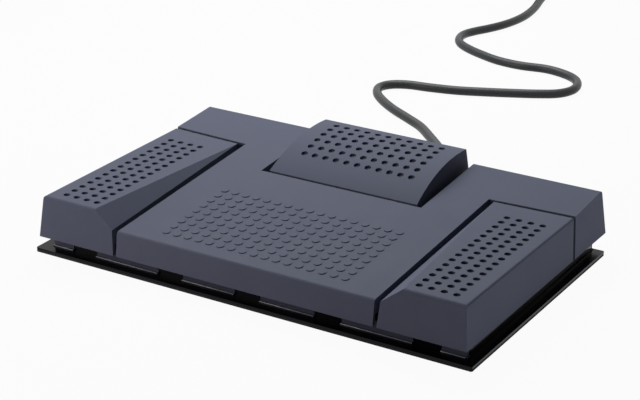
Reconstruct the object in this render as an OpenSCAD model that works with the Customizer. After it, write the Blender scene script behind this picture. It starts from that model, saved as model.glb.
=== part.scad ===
// Foot switch with four pedals on a weighted base, and its cord
// Millimetres. X runs to the right, Y to the rear, Z up from the floor.

/* [Body] */
// Width over the shells at their lower edge
body_w = 304; // [296:1:316]
// Depth over the shells at their lower edge
body_d = 192; // [188:1:200]
// Height of the shells' lower edge above the floor
skirt_z = 11.4; // [11:0.1:13]
// Height of the centre pedal at its front top edge
front_h = 27.6; // [27:0.1:31]
// Height of the centre pedal at its rear top edge
rear_h = 41.4; // [40:0.1:45]
// Lean of the side walls from upright, degrees
side_draft = 5.2; // [3:0.1:7]
// Lean of the front and rear walls from upright, degrees
end_draft = 6.8; // [4:0.1:8]
// Wall thickness of the moulded shells
shell_t = 2.4; // [1.8:0.1:3]
// Radius along the front and rear top edges of the shells
edge_r = 2.4; // [0.8:0.1:3]
// Radius along the outer top edges of the side pedals
side_edge_r = 1.4; // [0.8:0.1:2]

/* [Centre pedal] */
// Width of the panel between the two side slots
panel_w = 183; // [176:1:188]
// Depth of the rear rail at the middle of a side pedal
rail_d = 45; // [44:0.2:48]
// Height of the sill behind the top pedal
sill_z = 24; // [22:0.5:25]
// Height of the inner walls' lower edges above the floor
inner_low_z = 18; // [17.6:0.2:20]
// Swing of the centre pedal, degrees
centre_travel = 2; // [1:0.1:2.2]
// Diameter of a raised grip disc
disc_d = 5; // [4:0.1:6]
// Height of a raised grip disc
disc_h = 0.5; // [0.4:0.1:1.2]
// Grip discs in a row
disc_cols = 17; // [11:2:19]
// Rows of grip discs
disc_rows = 9; // [5:1:9]
// Distance of the first row of discs from the front lower edge
disc_inset = 16; // [14:0.5:20]
// Distance between neighbouring discs or dimples
grip_pitch = 8; // [7.5:0.1:8.2]

/* [Side pedals] */
// Slot between the centre panel and a side pedal
slot_w = 3.9; // [3:0.1:5]
// Gap between a side pedal and the rear rail
seam_gap = 3; // [2:0.1:3.2]
// Slant of that gap, its outer end further back, degrees
seam_slant = 2.6; // [0:0.1:3]
// Width of the slanting flank at its front end
flank_w = 13.9; // [10:0.1:16]
// Swing of a side pedal, degrees
side_travel = 2.5; // [1:0.1:2.6]
// Diameter of a round dimple
dimple_d = 4.4; // [3:0.1:4.6]
// Depth of a round dimple
dimple_depth = 1.5; // [0.8:0.1:1.6]
// Dimples across a side pedal
dimple_cols = 4; // [3:1:4]
// Dimples along a side pedal
dimple_rows = 15; // [9:1:16]
// Distance of the outer dimples from the body's side
dimple_side = 13.6; // [12:0.2:16]
// Distance of the first dimples from the front lower edge
dimple_front = 12.6; // [11:0.2:16]

/* [Top pedal] */
// Width of the top pedal at its highest line
top_w = 107; // [100:1:110]
// Room beside its highest line in the slot that it stands in
top_side_room = 6; // [5:0.5:8]
// Depth of that slot from the rear lower edge
top_slot_d = 76.4; // [74:0.2:78]
// Gap between the slot's front edge and the pedal
top_gap = 3; // [1:0.1:3.2]
// Height of the top pedal's highest line
top_h = 50.7; // [49:0.1:53]
// Radius of its curved top
top_arc_r = 115; // [110:1:125]
// Distance of its highest line from the rear lower edge
top_crown_d = 17; // [14:0.5:20]
// Height of its lower edge above the floor
top_low_z = 30; // [29.5:0.5:32]
// Swing of the top pedal, degrees
top_travel = 4; // [1:0.1:4]
// Dimples across the top pedal
top_cols = 11; // [7:2:11]
// Dimple rows along the top pedal
top_rows = 6; // [3:1:6]
// Distance between dimple rows along the curve
top_row_pitch = 8.3; // [7.5:0.1:8.5]
// Distance of the last dimple row behind the highest line, along the curve
top_row_last = 3.8; // [0:0.2:5]

/* [Base] */
// Width of the steel plate
plate_w = 311; // [306:1:320]
// Depth of the steel plate
plate_d = 183.4; // [182:0.2:190]
// Thickness of the steel plate
plate_t = 1.5; // [1.5:0.1:2]
// Thickness of the rubber mat
mat_t = 1.4; // [1:0.1:1.8]
// Corner radius of plate and mat
plate_r = 1; // [0.5:0.5:6]
// How far the tray stands back from the shells at the front
tray_front = 8.8; // [8:0.1:9.6]
// How far the tray stands back from the shells at the rear
tray_rear = 10; // [9:0.1:11]
// How far the tray stands back from the shells at each side
tray_side = 4.5; // [4:0.1:6]
// Thickness of the tray's floor
tray_floor_t = 2.6; // [2.2:0.1:3]
// Thickness of the tray's walls
tray_wall_t = 2.2; // [1.8:0.1:2.6]
// Reach of the thin toe along the foot of the tray's walls
toe_w = 0.8; // [0.5:0.1:1.2]
// Height of that toe
toe_h = 0.7; // [0.5:0.1:1.2]
// Width of a bent-up lug of the plate
lug_w = 18; // [14:0.5:22]
// Distance of the inner lugs from the middle
lug_near = 56.5; // [50:0.5:62]
// Distance of the outer lugs from the middle
lug_far = 122.5; // [115:0.5:128]

/* [Hinges] */
// Diameter of the hinge pins
pin_d = 4; // [3:0.1:4.4]
// Diameter of the eyes round the pins
eye_d = 10; // [9:0.5:10]
// Width of an eye along its pin
eye_w = 4.5; // [3.5:0.1:5]
// Distance of the side hinges in front of the seam
side_hinge_back = 15; // [15:0.1:17]
// Height of the side hinges above the tray's floor
side_hinge_h = 13.5; // [12:0.5:15]
// Distance of the centre hinges from the rear lower edge
centre_hinge_back = 20; // [18:0.5:24]
// Height of the centre hinges above the tray's floor
centre_hinge_h = 9; // [8:0.5:11]
// Distance of the centre hinges from the middle
centre_hinge_x = 115; // [100:1:120]
// Distance of the top hinge behind its slot's front edge
top_hinge_back = 13.4; // [13:0.2:16]
// Height of the top hinge above the tray's floor
top_hinge_h = 21; // [19:0.5:22]
// Distance of the top hinge's eyes from the middle
top_hinge_x = 38; // [30:1:42]

/* [Springs, switches and stops] */
// Outside diameter of a return spring
spring_d = 10; // [8:0.5:11]
// Wire diameter of a return spring
wire_d = 1.2; // [0.8:0.1:1.4]
// Turns of a return spring
spring_turns = 5; // [4:1:6]
// Height of a return spring at rest
spring_h = 16; // [14:0.5:18]
// Length of a micro switch
switch_l = 19.8; // [16:0.2:22]
// Width of a micro switch
switch_w = 6.4; // [5:0.1:7]
// Height of a micro switch
switch_h = 10.2; // [9:0.1:11]
// Diameter of a switch plunger
plunger_d = 3.2; // [2.4:0.1:3.6]
// How far a plunger stands out at rest
plunger_out = 3.4; // [3:0.1:4]
// Length of a plunger inside its switch
plunger_in = 4; // [3:0.1:4.4]
// Diameter of the pegs that hold a switch
peg_d = 2.2; // [1.8:0.1:2.6]
// Diameter of a rubber stop pad
pad_d = 10; // [8:0.5:12]
// Thickness of a rubber stop pad
pad_t = 3; // [2:0.2:4]
// Height of the post under a stop pad
pad_post_h = 4; // [3:0.5:5]
// Width of a stop hook
hook_w = 10; // [8:0.5:12]
// Thickness of a stop hook's arm and toe
hook_t = 2.6; // [2:0.1:3]
// Reach of a hook's toe under its catch
hook_reach = 2.6; // [2:0.1:3]

/* [Places under the pedals] */
// Distance of the front hooks from the front lower edge
hook_in = 12.5; // [12.5:0.5:14]
// Distance of the side stop pads from the front lower edge
side_pad_in = 34; // [30:1:36]
// Distance of the side springs from the front lower edge
side_spring_in = 55; // [52:1:58]
// Distance of the side switches in front of their hinges
side_switch_reach = 34; // [30:1:38]
// Distance of the centre hooks and springs from the middle
centre_spring_x = 50; // [46:1:54]
// Distance of the centre springs from the front lower edge
centre_spring_in = 76; // [70:1:80]
// Distance of the centre stop pads from the middle
centre_pad_x = 70; // [66:1:74]
// Distance of the centre stop pads from the front lower edge
centre_pad_in = 24; // [22:1:28]
// Distance of the centre switch to the left of the middle
centre_switch_side = 26; // [24:1:30]
// Distance of the centre switch in front of the top pedal's slot
centre_switch_in = 14.6; // [14:0.2:18]
// Distance of the top spring to the right of the middle
top_spring_x = 30; // [28:1:34]
// Distance of the top spring behind its hinge
top_spring_reach = 35; // [32:1:38]
// Distance of the top switch and hook to the left of the middle
top_switch_side = 14; // [12:1:16]
// Distance of the top switch behind its hinge
top_switch_reach = 22; // [20:0.5:24]
// Distance of the top stop pad to the left of the middle
top_pad_side = 34; // [32:1:38]
// Distance of the top stop pad behind its hinge
top_pad_reach = 40; // [36:1:42]
// Distance of the top hook in front of the tray's rear wall
top_hook_in = 4; // [3.5:0.1:5]

/* [Board] */
// Distance of the board's middle to the left of the middle
board_side = 5; // [3:0.5:6]
// Distance of the board's middle from the front lower edge
board_in = 42; // [40:0.5:45]
// Width of the control board
board_w = 60; // [50:1:64]
// Depth of the control board
board_d = 40; // [34:1:44]
// Thickness of the control board
board_t = 1.6; // [1.2:0.1:2]
// Height of the posts under the board
board_post_h = 3; // [2.5:0.1:4]
// Distance of the board's screws from its edges
board_hole_in = 4; // [3.5:0.1:4.5]
// Width of a lead socket
connector_w = 7; // [6:0.5:7.5]
// Depth of a lead socket
connector_d = 6; // [5:0.5:7]
// Height of a lead socket
connector_h = 5.5; // [4:0.1:6]
// Height of the cord's socket
cord_connector_h = 8; // [7:0.5:9]
// Side of the controller chip
chip_w = 10; // [7:0.5:12]
// Thickness of the controller chip
chip_t = 1.6; // [1:0.1:2]

/* [Screws] */
// Shank diameter of the case screws
case_screw_d = 3; // [2.5:0.1:3.5]
// Length of the case screws
case_screw_l = 10; // [9:0.5:11]
// Head diameter of the case screws
case_head_d = 6; // [5:0.1:7]
// Diameter of the bosses that the case screws go into
case_boss_d = 8; // [7:0.5:9]
// Distance of the case screws from the panel's sides
case_screw_side = 12; // [10:0.5:14]
// Distance of the front case screws from the front lower edge
case_screw_front = 38; // [34:1:42]
// Distance of the middle case screws from the front lower edge
case_screw_mid = 101; // [96:1:104]
// Distance of the rear case screws from the rear lower edge
case_screw_rear = 36; // [34:1:40]
// Shank diameter of the small screws
small_screw_d = 2.2; // [1.8:0.1:2.6]
// Head diameter of the small screws
small_head_d = 4.4; // [4:0.1:5]
// Head height of the small screws
small_head_h = 1.6; // [1:0.1:2]

/* [Cord] */
// Distance of the cord's exit to the right of the middle
cord_x = 10; // [9:0.5:12]
// Distance of the cord's clamp behind the top hinge
clamp_back = 13; // [12:0.5:15]
// Width of the cord's clamp
clamp_w = 24; // [23:0.5:26]
// Length of the cord's clamp
clamp_l = 9; // [8:0.5:10]
// Distance of the clamp's screws from the cord's middle
clamp_screw_x = 8.5; // [8:0.1:9]
// Thickness of the clamp over the cord
clamp_over = 3; // [2:0.1:4]
// Straight stretch of a lead at each end
lead_out = 4; // [3:0.5:5]
// Diameter of the cord
cord_d = 7; // [6:0.1:7.4]
// Diameter of a switch lead
lead_d = 2.2; // [1.6:0.1:2.4]
// Length of the strain relief outside the tray
boot_l = 32; // [26:1:36]
// Diameter of the strain relief's flanges
boot_flange_d = 12; // [11:0.2:12.6]
// Thickness of the strain relief's flanges
boot_flange_t = 2; // [1.4:0.1:2.4]
// Turns of the put-away coil, from its start to its end
coil_turns = 5.25; // [3.25:1:7.25]
// Radius of the coil's innermost turn
coil_r_in = 27; // [26:0.5:32]
// Distance between neighbouring turns of the coil
coil_step = 7.7; // [7.6:0.1:8.4]
// Width of the tie round the coil
tie_w = 8; // [5:0.5:12]
// Thickness of the tie
tie_t = 0.8; // [0.5:0.1:1]
// Width of the plug's grip
grip_w = 16; // [14:0.5:18]
// Height of the plug's grip
grip_h = 8; // [7.6:0.1:9]
// Length of the plug's grip
grip_l = 28; // [24:1:34]
// Width of the plug's metal shell
plug_w = 12; // [11.8:0.1:12.2]
// Height of the plug's metal shell
plug_h = 4.5; // [4.3:0.1:4.7]
// Length of the plug's metal shell
plug_l = 18.7; // [16:0.1:20]
// Sheet thickness of the plug's metal shell
plug_t = 0.35; // [0.3:0.05:0.5]

/* [Clearances] */
// Radial clearance of a pin in its eyes
pin_fit = 0.05; // [0.02:0.01:0.1]
// Gap between eyes side by side on one pin
eye_gap = 0.6; // [0.4:0.1:1]
// Clearance of pieces fixed in or on one another
fixed_fit = 0.1; // [0.05:0.05:0.2]
// Radial clearance of a plunger in its switch
plunger_fit = 0.15; // [0.1:0.05:0.2]
// Gap between a pedal and what stops or meets it
touch_gap = 0.3; // [0.3:0.05:0.5]
// Height of the shells' lower edge above the tray's walls
skirt_gap = 0.4; // [0.2:0.1:0.8]
// Radial room between a spring and its seats
spring_room = 0.6; // [0.4:0.1:0.8]
// Room kept between a pressed pedal's hook and the tray's floor
floor_room = 0.8; // [0.5:0.1:1.2]
// Room round the strain relief in the centre pedal's rear arch
arch_room = 2; // [1.5:0.1:2.5]

/* [Hidden] */
$fn = 48;
eps = 0.5;

// Main planes
half_w = body_w / 2;
front_y = -body_d / 2;
rear_y = body_d / 2;
seam_y = rear_y - rail_d;
panel_x = panel_w / 2;
slot_x = top_w / 2 + top_side_room;
slot_y = rear_y - top_slot_d;
plate_z = mat_t + plate_t;
floor_z = plate_z + tray_floor_t;
tray_x = half_w - tray_side;
tray_y0 = front_y + tray_front;
tray_y1 = rear_y - tray_rear;
wall_top_z = skirt_z - skirt_gap;
sky_z = top_h + 10;

// The centre pedal's sloping top, as a height at the middle and a slope
front_top_y = front_y + (front_h - skirt_z) * tan(end_draft);
rear_top_y = rear_y - (rear_h - skirt_z) * tan(end_draft);
top_slope = (rear_h - front_h) / (rear_top_y - front_top_y);
mid_h = front_h - top_slope * front_top_y;
function panel_z(y) = mid_h + top_slope * y;

// Side pedals: flush with the rail at the seam, flank level with the panel along the slot
pedal_z = panel_z(seam_y);
pedal_in = panel_x + slot_w;
pedal_mid_x = (pedal_in + half_w) / 2;

// Top pedal
top_front_y = slot_y + top_gap;
top_crown_y = rear_y - top_crown_d;
top_axis_z = top_h - top_arc_r;
function arc_z(y, r) = top_axis_z + sqrt(r * r - pow(y - top_crown_y, 2));

// Hinge lines
side_hinge = [seam_y - side_hinge_back, floor_z + side_hinge_h];
centre_hinge = [rear_y - centre_hinge_back, floor_z + centre_hinge_h];
top_hinge = [slot_y + top_hinge_back, floor_z + top_hinge_h];

// How far a pedal drops at a distance from its hinge
function drop(reach, angle) = reach * sin(angle);

// Places of what works under each pedal
side_spring_y = front_y + side_spring_in;
side_switch_y = side_hinge[0] - side_switch_reach;
side_pad_y = front_y + side_pad_in;
side_hook_y = front_y + hook_in;
centre_spring_y = front_y + centre_spring_in;
centre_switch_x = -centre_switch_side;
centre_switch_y = slot_y - centre_switch_in;
centre_pad_y = front_y + centre_pad_in;
centre_hook_x = centre_spring_x;
centre_hook_y = front_y + hook_in;
top_spring_y = top_hinge[0] + top_spring_reach;
top_switch_x = -top_switch_side;
top_switch_y = top_hinge[0] + top_switch_reach;
top_pad_x = -top_pad_side;
top_pad_y = top_hinge[0] + top_pad_reach;
top_hook_x = -top_switch_side;
top_hook_y = tray_y1 - top_hook_in;
switch_top_z = floor_z + switch_h;
plunger_top_z = switch_top_z + plunger_out;
spring_top_z = floor_z + spring_h;
pad_top_z = floor_z + pad_post_h + pad_t;

// Case screws, board and cord entry
case_screw_y = [front_y + case_screw_front, front_y + case_screw_mid, rear_y - case_screw_rear];
case_screw_x = panel_x - case_screw_side;
case_head_h = (case_head_d - case_screw_d) / 2;
case_boss_z = mat_t + case_screw_l + 1;
board_x = -board_side;
board_y = front_y + board_in;
board_z = floor_z + board_post_h;
board_top_z = board_z + board_t;
board_rear_y = board_y + board_d / 2;
cord_in_z = floor_z + boot_flange_d / 2 + touch_gap;
clamp_y = top_hinge[0] + clamp_back;
clamp_top_z = cord_in_z + cord_d / 2 + clamp_over;
clamp_split = 0.4;
screw_tip_z = floor_z + 0.4;
boot_neck_d = cord_d + 2;
boot_tip_d = cord_d + 1.4;
boot_tip_y = tray_y1 + boot_l;

// Cord on the floor, as places chosen along its middle line
lying_gap = 0.1;
lying_z = cord_d / 2 + lying_gap;
coil_c = [-162, 606];
coil_half = coil_turns / 2;
tie_room = 0.2;
coil_low_z = lying_z + tie_t + tie_room;
coil_z = [coil_low_z, coil_low_z + coil_step];
function coil_r(u) = coil_r_in + coil_step * (sqrt(pow(u - coil_half, 2) + 0.01) - 0.1);
function ease(t) = let (k = min(max(t, 0), 1)) k * k * (3 - 2 * k);
function coil_at(u) = [
  coil_c[0] + coil_r(u) * cos(360 * u),
  coil_c[1] + coil_r(u) * sin(360 * u),
  coil_z[0] + (coil_z[1] - coil_z[0]) * ease(2 * (u - coil_half) + 0.5)
];
coil_start = coil_at(0) - [0, cord_d, 0];
coil_end = coil_at(coil_turns) - [cord_d, 0, 0];
plug_axis = [-217, 600, grip_h / 2];
plug_neck_l = 9;
run_route = [
  [cord_x, boot_tip_y, cord_in_z], [cord_x, boot_tip_y + 10, cord_in_z],
  [9, 146, 7.5], [4, 162, 4], [-6, 177, lying_z], [-19, 191, lying_z],
  [-33, 205, lying_z], [-50, 221, lying_z], [-67, 232, lying_z], [-85, 243, lying_z],
  [-101, 255, lying_z], [-114, 268, lying_z], [-120, 281, lying_z], [-116, 292, lying_z],
  [-104, 299, lying_z], [-86, 302, lying_z], [-65, 307, lying_z], [-45, 315, lying_z],
  [-25, 324, lying_z], [-7, 333, lying_z], [6, 342, lying_z], [12, 354, lying_z],
  [11, 367, lying_z], [4, 379, lying_z], [-9, 387, lying_z], [-27, 391, lying_z],
  [-49, 388, lying_z], [-70, 390, lying_z], [-89, 397, lying_z], [-105, 405, lying_z],
  [-117, 414, lying_z], [-124, 425, lying_z], [-126, 438, lying_z], [-122, 451, lying_z],
  [-116, 463, lying_z], [-110, 478, lying_z], [-106, 496, lying_z], [-105, 516, lying_z],
  [-108, 540, lying_z], [-114, 568, coil_z[0]], coil_start - [0, 12, 0], coil_start
];
tail_route = [
  coil_end, coil_end - [8, 0, 0], [-190, 648, 12], [-203, 639, 9],
  [-212, 627, 5.5], plug_axis + [0, plug_neck_l + 9, 0], plug_axis + [0, plug_neck_l, 0]
];

// Switch leads, from each switch's front end to its socket on the board
lead_z = floor_z + lead_d / 2 + eps;
plug_z = board_top_z + lead_d;
side_plug_y = board_y + connector_d / 2;
centre_plug_x = board_x - board_w / 4;
top_plug_x = board_x - connector_w;
function switch_end(x, y, out) = [x, y - switch_l / 2 - out, lead_z];
function side_lead_route(s) =
  let (
    start = switch_end(s * pedal_mid_x, side_switch_y, lead_out),
    turn = start - [s * 3 * lead_out, 2 * lead_out, 0],
    end = [board_x + s * board_w / 2, side_plug_y, plug_z],
    rise = end + [s * 4 * lead_out, lead_out, lead_z - plug_z]
  )
  [start + [0, lead_out, 0], start, turn, (turn + rise) / 2, rise, end + [s * lead_out, 0, 0], end];
function rear_lead_route(x, y, plug_x) =
  let (
    start = switch_end(x, y, lead_out),
    end = [plug_x, board_rear_y, plug_z],
    rise = (start + 2 * (end + [0, lead_out, 0])) / 3
  )
  [start + [0, lead_out, 0], start, [rise[0], rise[1], lead_z], end + [0, lead_out, 0], end];

// Plain shapes between given limits
module block(x0, x1, y0, y1, z0, z1) {
  translate([x0, y0, z0]) cube([x1 - x0, y1 - y0, z1 - z0]);
}
module along_x(x0, x1) {
  translate([x0, 0, 0]) rotate([90, 0, 90]) linear_extrude(x1 - x0) children();
}
module along_y(y0, y1) {
  translate([0, y1, 0]) rotate([90, 0, 0]) linear_extrude(y1 - y0) children();
}
module rod_x(d, x0, x1, at) {
  translate([x0, at[0], at[1]]) rotate([0, 90, 0]) cylinder(d = d, h = x1 - x0);
}
module rod_y(d, y0, y1, x, z) {
  translate([x, y1, z]) rotate([90, 0, 0]) cylinder(d = d, h = y1 - y0);
}
module post(d, x, y, z0, z1) {
  translate([x, y, z0]) cylinder(d = d, h = z1 - z0);
}
module both_sides() {
  children();
  mirror([1, 0, 0]) children();
}
module rounded_plate(w, y0, y1, z0, h, r) {
  for (x = [r - w / 2, w / 2 - r], y = [y0 + r, y1 - r]) post(2 * r, x, y, z0, z0 + h);
  block(r - w / 2, w / 2 - r, y0, y1, z0, z0 + h);
  block(-w / 2, w / 2, y0 + r, y1 - r, z0, z0 + h);
}

// Points of an arc that rounds the corner b between a and c
function unit(v) = v / norm(v);
function arc_corner(a, b, c, r, steps = 5) =
  let (
    u = unit(a - b), v = unit(c - b), half = acos(u * v) / 2, turn = 180 - 2 * half,
    mid = b + unit(u + v) * r / sin(half),
    from = b + u * r / tan(half) - mid, to = b + v * r / tan(half) - mid
  )
  [for (i = [0:steps]) mid + r * unit(from * sin(turn * (1 - i / steps)) + to * sin(turn * i / steps))];

// Walls of the shells, set in by a thickness t
function end_in(t) = t / cos(end_draft);
function front_wall_y(z, t) = front_y + end_in(t) + (z - skirt_z) * tan(end_draft);
function rear_wall_y(z, t) = rear_y - end_in(t) - (z - skirt_z) * tan(end_draft);
function side_wall_x(z, t) = half_w - t / cos(side_draft) - (z - skirt_z) * tan(side_draft);
function slot_wall_x(z, t) = pedal_in + t / cos(side_draft) + (z - front_h) * tan(side_draft);

// Corners where the centre pedal's sloping top meets its front and rear walls
function sunk_h(t) = mid_h - t * sqrt(1 + top_slope * top_slope);
function on_top(y, t) = [y, sunk_h(t) + top_slope * y];
function front_corner(t) = on_top(
  (front_y + end_in(t) + (sunk_h(t) - skirt_z) * tan(end_draft)) / (1 - top_slope * tan(end_draft)), t);
function rear_corner(t) = on_top(
  (rear_y - end_in(t) - (sunk_h(t) - skirt_z) * tan(end_draft)) / (1 + top_slope * tan(end_draft)), t);

// All that lies in front of the rail's slanting, leaning front wall on the right, set back by a distance
module before_seam(back) {
  reach = 2 * body_d;
  translate([pedal_mid_x, seam_y, pedal_z]) rotate([-end_draft, 0, seam_slant])
    translate([-reach, back - 2 * reach, -reach]) cube(2 * reach);
}

// Whole body outline under the sloping top
module centre_block(t, z0) {
  front_foot = [front_wall_y(z0, t), z0];
  rear_foot = [rear_wall_y(z0, t), z0];
  r = max(edge_r - t, 0.3);
  intersection() {
    along_x(-half_w - eps, half_w + eps) polygon(concat(
      [rear_foot, front_foot],
      arc_corner(front_foot, front_corner(t), rear_corner(t), r),
      arc_corner(front_corner(t), rear_corner(t), rear_foot, r)
    ));
    along_y(front_y - eps, rear_y + eps) polygon([
      [-side_wall_x(z0, t), z0], [-side_wall_x(sky_z, t), sky_z],
      [side_wall_x(sky_z, t), sky_z], [side_wall_x(z0, t), z0]
    ]);
  }
}

// The same, less the bays of the side pedals and the top pedal's slot
module centre_plan(t, z0) {
  difference() {
    centre_block(t, z0);
    both_sides() intersection() {
      block(panel_x - t, half_w + 2, front_y - 2, rear_y, z0 - 1, sky_z);
      before_seam(t);
    }
    block(-slot_x - t, slot_x + t, slot_y - t, rear_y + 2, z0 - 1, sky_z);
  }
}

// An eye round a hinge pin, with a web from height z0 to z1
eye_step = eye_w + eye_gap;
module eye(x, hinge, z0, z1) {
  block(x - eye_w / 2, x + eye_w / 2, hinge[0] - eye_d / 2, hinge[0] + eye_d / 2, z0, z1);
  rod_x(eye_d, x - eye_w / 2, x + eye_w / 2, hinge);
}
module pin_hole(x, reach, hinge) {
  rod_x(pin_d + 2 * pin_fit, x - reach, x + reach, hinge);
}
module pedal_eye(x, hinge, top) {
  eye(x, hinge, hinge[1], top);
}
module tray_ear(x, hinge) {
  difference() {
    eye(x, hinge, floor_z - eps, hinge[1]);
    pin_hole(x, eye_w, hinge);
  }
}

// What a pedal presses on: a spring seat, a switch finger, a stop foot and a hook
spring_pin_d = spring_d - 2 * wire_d - 2 * spring_room;
spring_pin_l = 3;
spring_seat_d = spring_d + 2;
finger_w = 4.4;
foot_d = pad_d - 2;
module spring_seat(x, y, top) {
  post(spring_seat_d, x, y, spring_top_z, top);
  post(spring_pin_d, x, y, spring_top_z - spring_pin_l, spring_top_z + eps);
}
module finger(x, y, top) {
  block(x - finger_w / 2, x + finger_w / 2, y - finger_w / 2, y + finger_w / 2,
    plunger_top_z + touch_gap, top);
}
module stop_foot(x, y, fall, top) {
  post(foot_d, x, y, pad_top_z + fall + touch_gap, top);
}
// A hook at y whose toe points along dir under its catch
function toe_z(fall) = floor_z + fall + floor_room;
module hook(x, y, dir, fall, sway, top) {
  z = toe_z(fall);
  translate([x, y, 0]) mirror([0, dir < 0 ? 1 : 0, 0]) {
    block(-hook_w / 2, hook_w / 2, 0, hook_t, z, top);
    block(-hook_w / 2, hook_w / 2, 0, hook_t + sway + hook_reach, z, z + hook_t);
  }
}
module hook_catch(x, y, dir, fall, sway) {
  z = toe_z(fall) + hook_t + touch_gap;
  back = hook_t + hook_reach + 2 * (sway + touch_gap);
  translate([x, y, 0]) mirror([0, dir < 0 ? 1 : 0, 0]) {
    block(-hook_w / 2, hook_w / 2, back, back + hook_t, floor_z - eps, z + hook_t);
    block(-hook_w / 2, hook_w / 2, hook_t + sway + 2 * touch_gap, back + hook_t, z, z + hook_t);
  }
}

// Falls of the pedals at their hooks and stop feet, and how far the hooks sway along Y
side_hook_fall = drop(side_hinge[0] - side_hook_y, side_travel);
side_pad_fall = drop(side_hinge[0] - side_pad_y, side_travel);
centre_hook_fall = drop(centre_hinge[0] - centre_hook_y, centre_travel);
centre_pad_fall = drop(centre_hinge[0] - centre_pad_y, centre_travel);
top_hook_fall = drop(top_hook_y - top_hinge[0], top_travel);
top_pad_fall = drop(top_pad_y - top_hinge[0], top_travel);
side_hook_sway = drop(side_hinge[1] - toe_z(side_hook_fall), side_travel);
centre_hook_sway = drop(centre_hinge[1] - toe_z(centre_hook_fall), centre_travel);
top_hook_sway = drop(top_hinge[1] - toe_z(top_hook_fall), top_travel);

shell_color = [0.38, 0.39, 0.45];
steel_color = [0.72, 0.73, 0.75];
black_color = [0.1, 0.1, 0.1];
cord_color = [0.24, 0.26, 0.26];

// Centre pedal: panel, rail, grip discs and what hangs under them
module centre_pedal() {
  under = shell_t / 2;
  arch_r = boot_flange_d / 2 + arch_room;
  color(shell_color) difference() {
    union() {
      difference() {
        centre_plan(0, skirt_z);
        centre_plan(shell_t, skirt_z - 1);
        intersection() {
          centre_block(shell_t, skirt_z - 1);
          block(-half_w, half_w, front_y, rear_y, 0, inner_low_z);
        }
      }
      intersection() {
        difference() {
          centre_block(0, skirt_z);
          centre_block(shell_t, skirt_z - 1);
        }
        block(-slot_x - eps, slot_x + eps, 0, rear_y + 1, 0, sill_z);
      }
      for (i = [0:disc_cols - 1], j = [0:disc_rows - 1]) {
        y = front_y + disc_inset + grip_pitch * j;
        translate([grip_pitch * (i - (disc_cols - 1) / 2), y, panel_z(y)])
          rotate([atan(top_slope), 0, 0])
            translate([0, 0, -under]) cylinder(d = disc_d, h = under + disc_h, $fn = 24);
      }
      both_sides() {
        for (x = [centre_hinge_x - eye_step / 2, centre_hinge_x + eye_step / 2])
          pedal_eye(x, centre_hinge, panel_z(centre_hinge[0]) - under);
        spring_seat(centre_spring_x, centre_spring_y, panel_z(centre_spring_y) - under);
        stop_foot(centre_pad_x, centre_pad_y, centre_pad_fall, panel_z(centre_pad_y) - under);
        hook(centre_hook_x, centre_hook_y, 1, centre_hook_fall, centre_hook_sway,
          panel_z(centre_hook_y) - under);
      }
      finger(centre_switch_x, centre_switch_y, panel_z(centre_switch_y) - under);
    }
    both_sides() pin_hole(centre_hinge_x, 2 * eye_step, centre_hinge);
    rod_y(2 * arch_r, rear_y - 20, rear_y + 2, cord_x, cord_in_z);
    block(cord_x - arch_r, cord_x + arch_r, rear_y - 20, rear_y + 2, 0, cord_in_z);
  }
}

// Side pedal on the right: flat top, slanting flank, set in by t
flank_front = [pedal_in, front_wall_y(front_h, 0), front_h];
pedal_rear_y = seam_y - seam_gap - (pedal_mid_x - pedal_in) * tan(seam_slant);
flank_rear = [slot_wall_x(pedal_z, 0), pedal_rear_y, pedal_z];
flank_crease = [pedal_in + flank_w, front_wall_y(pedal_z, 0), pedal_z];
flank_up = unit(cross(flank_crease - flank_front, flank_rear - flank_front));
module above_flank(t) {
  reach = body_d;
  translate(flank_front - t * flank_up)
    rotate(a = acos(flank_up[2]), v = cross([0, 0, 1], flank_up))
      translate([-reach, -reach, 0]) cube(2 * reach);
}
module side_block(t, z0) {
  top = pedal_z - t;
  front_foot = [front_wall_y(z0, t), z0];
  front_top = [front_wall_y(top, t), top];
  side_foot = [side_wall_x(z0, t), z0];
  side_top = [side_wall_x(top, t), top];
  difference() {
    intersection() {
      along_y(front_y - eps, rear_y) polygon(concat(
        [[slot_wall_x(z0, t), z0], [slot_wall_x(top, t), top]],
        arc_corner([0, top], side_top, side_foot, max(side_edge_r - t, 0.3)), [side_foot]
      ));
      along_x(0, half_w + eps) polygon(concat(
        [[rear_y + eps, z0], front_foot],
        arc_corner(front_foot, front_top, [rear_y, top], max(edge_r - t, 0.3)), [[rear_y + eps, top]]
      ));
      before_seam(-seam_gap - t);
    }
    above_flank(t);
  }
}
module side_pedal() {
  under = pedal_z - shell_t / 2;
  pedal_low_y = pedal_rear_y - (pedal_z - skirt_z) * tan(end_draft);
  color(shell_color) difference() {
    union() {
      difference() {
        side_block(0, skirt_z);
        side_block(shell_t, skirt_z - 1);
        block(0, pedal_in + 2 * shell_t, front_wall_y(inner_low_z, shell_t), pedal_low_y - shell_t,
          0, inner_low_z);
      }
      for (s = [-1, 1]) pedal_eye(pedal_mid_x + s * 2 * eye_step, side_hinge, under);
      spring_seat(pedal_mid_x, side_spring_y, under);
      finger(pedal_mid_x, side_switch_y, under);
      stop_foot(pedal_mid_x, side_pad_y, side_pad_fall, under);
      hook(pedal_mid_x, side_hook_y, 1, side_hook_fall, side_hook_sway, under);
    }
    pin_hole(pedal_mid_x, 4 * eye_step, side_hinge);
    for (i = [0:dimple_cols - 1], j = [0:dimple_rows - 1])
      post(dimple_d, half_w - dimple_side - grip_pitch * i, front_y + dimple_front + grip_pitch * j,
        pedal_z - dimple_depth, pedal_z + 1);
  }
}
module right_pedal() { side_pedal(); }
module left_pedal() { mirror([1, 0, 0]) side_pedal(); }

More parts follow.
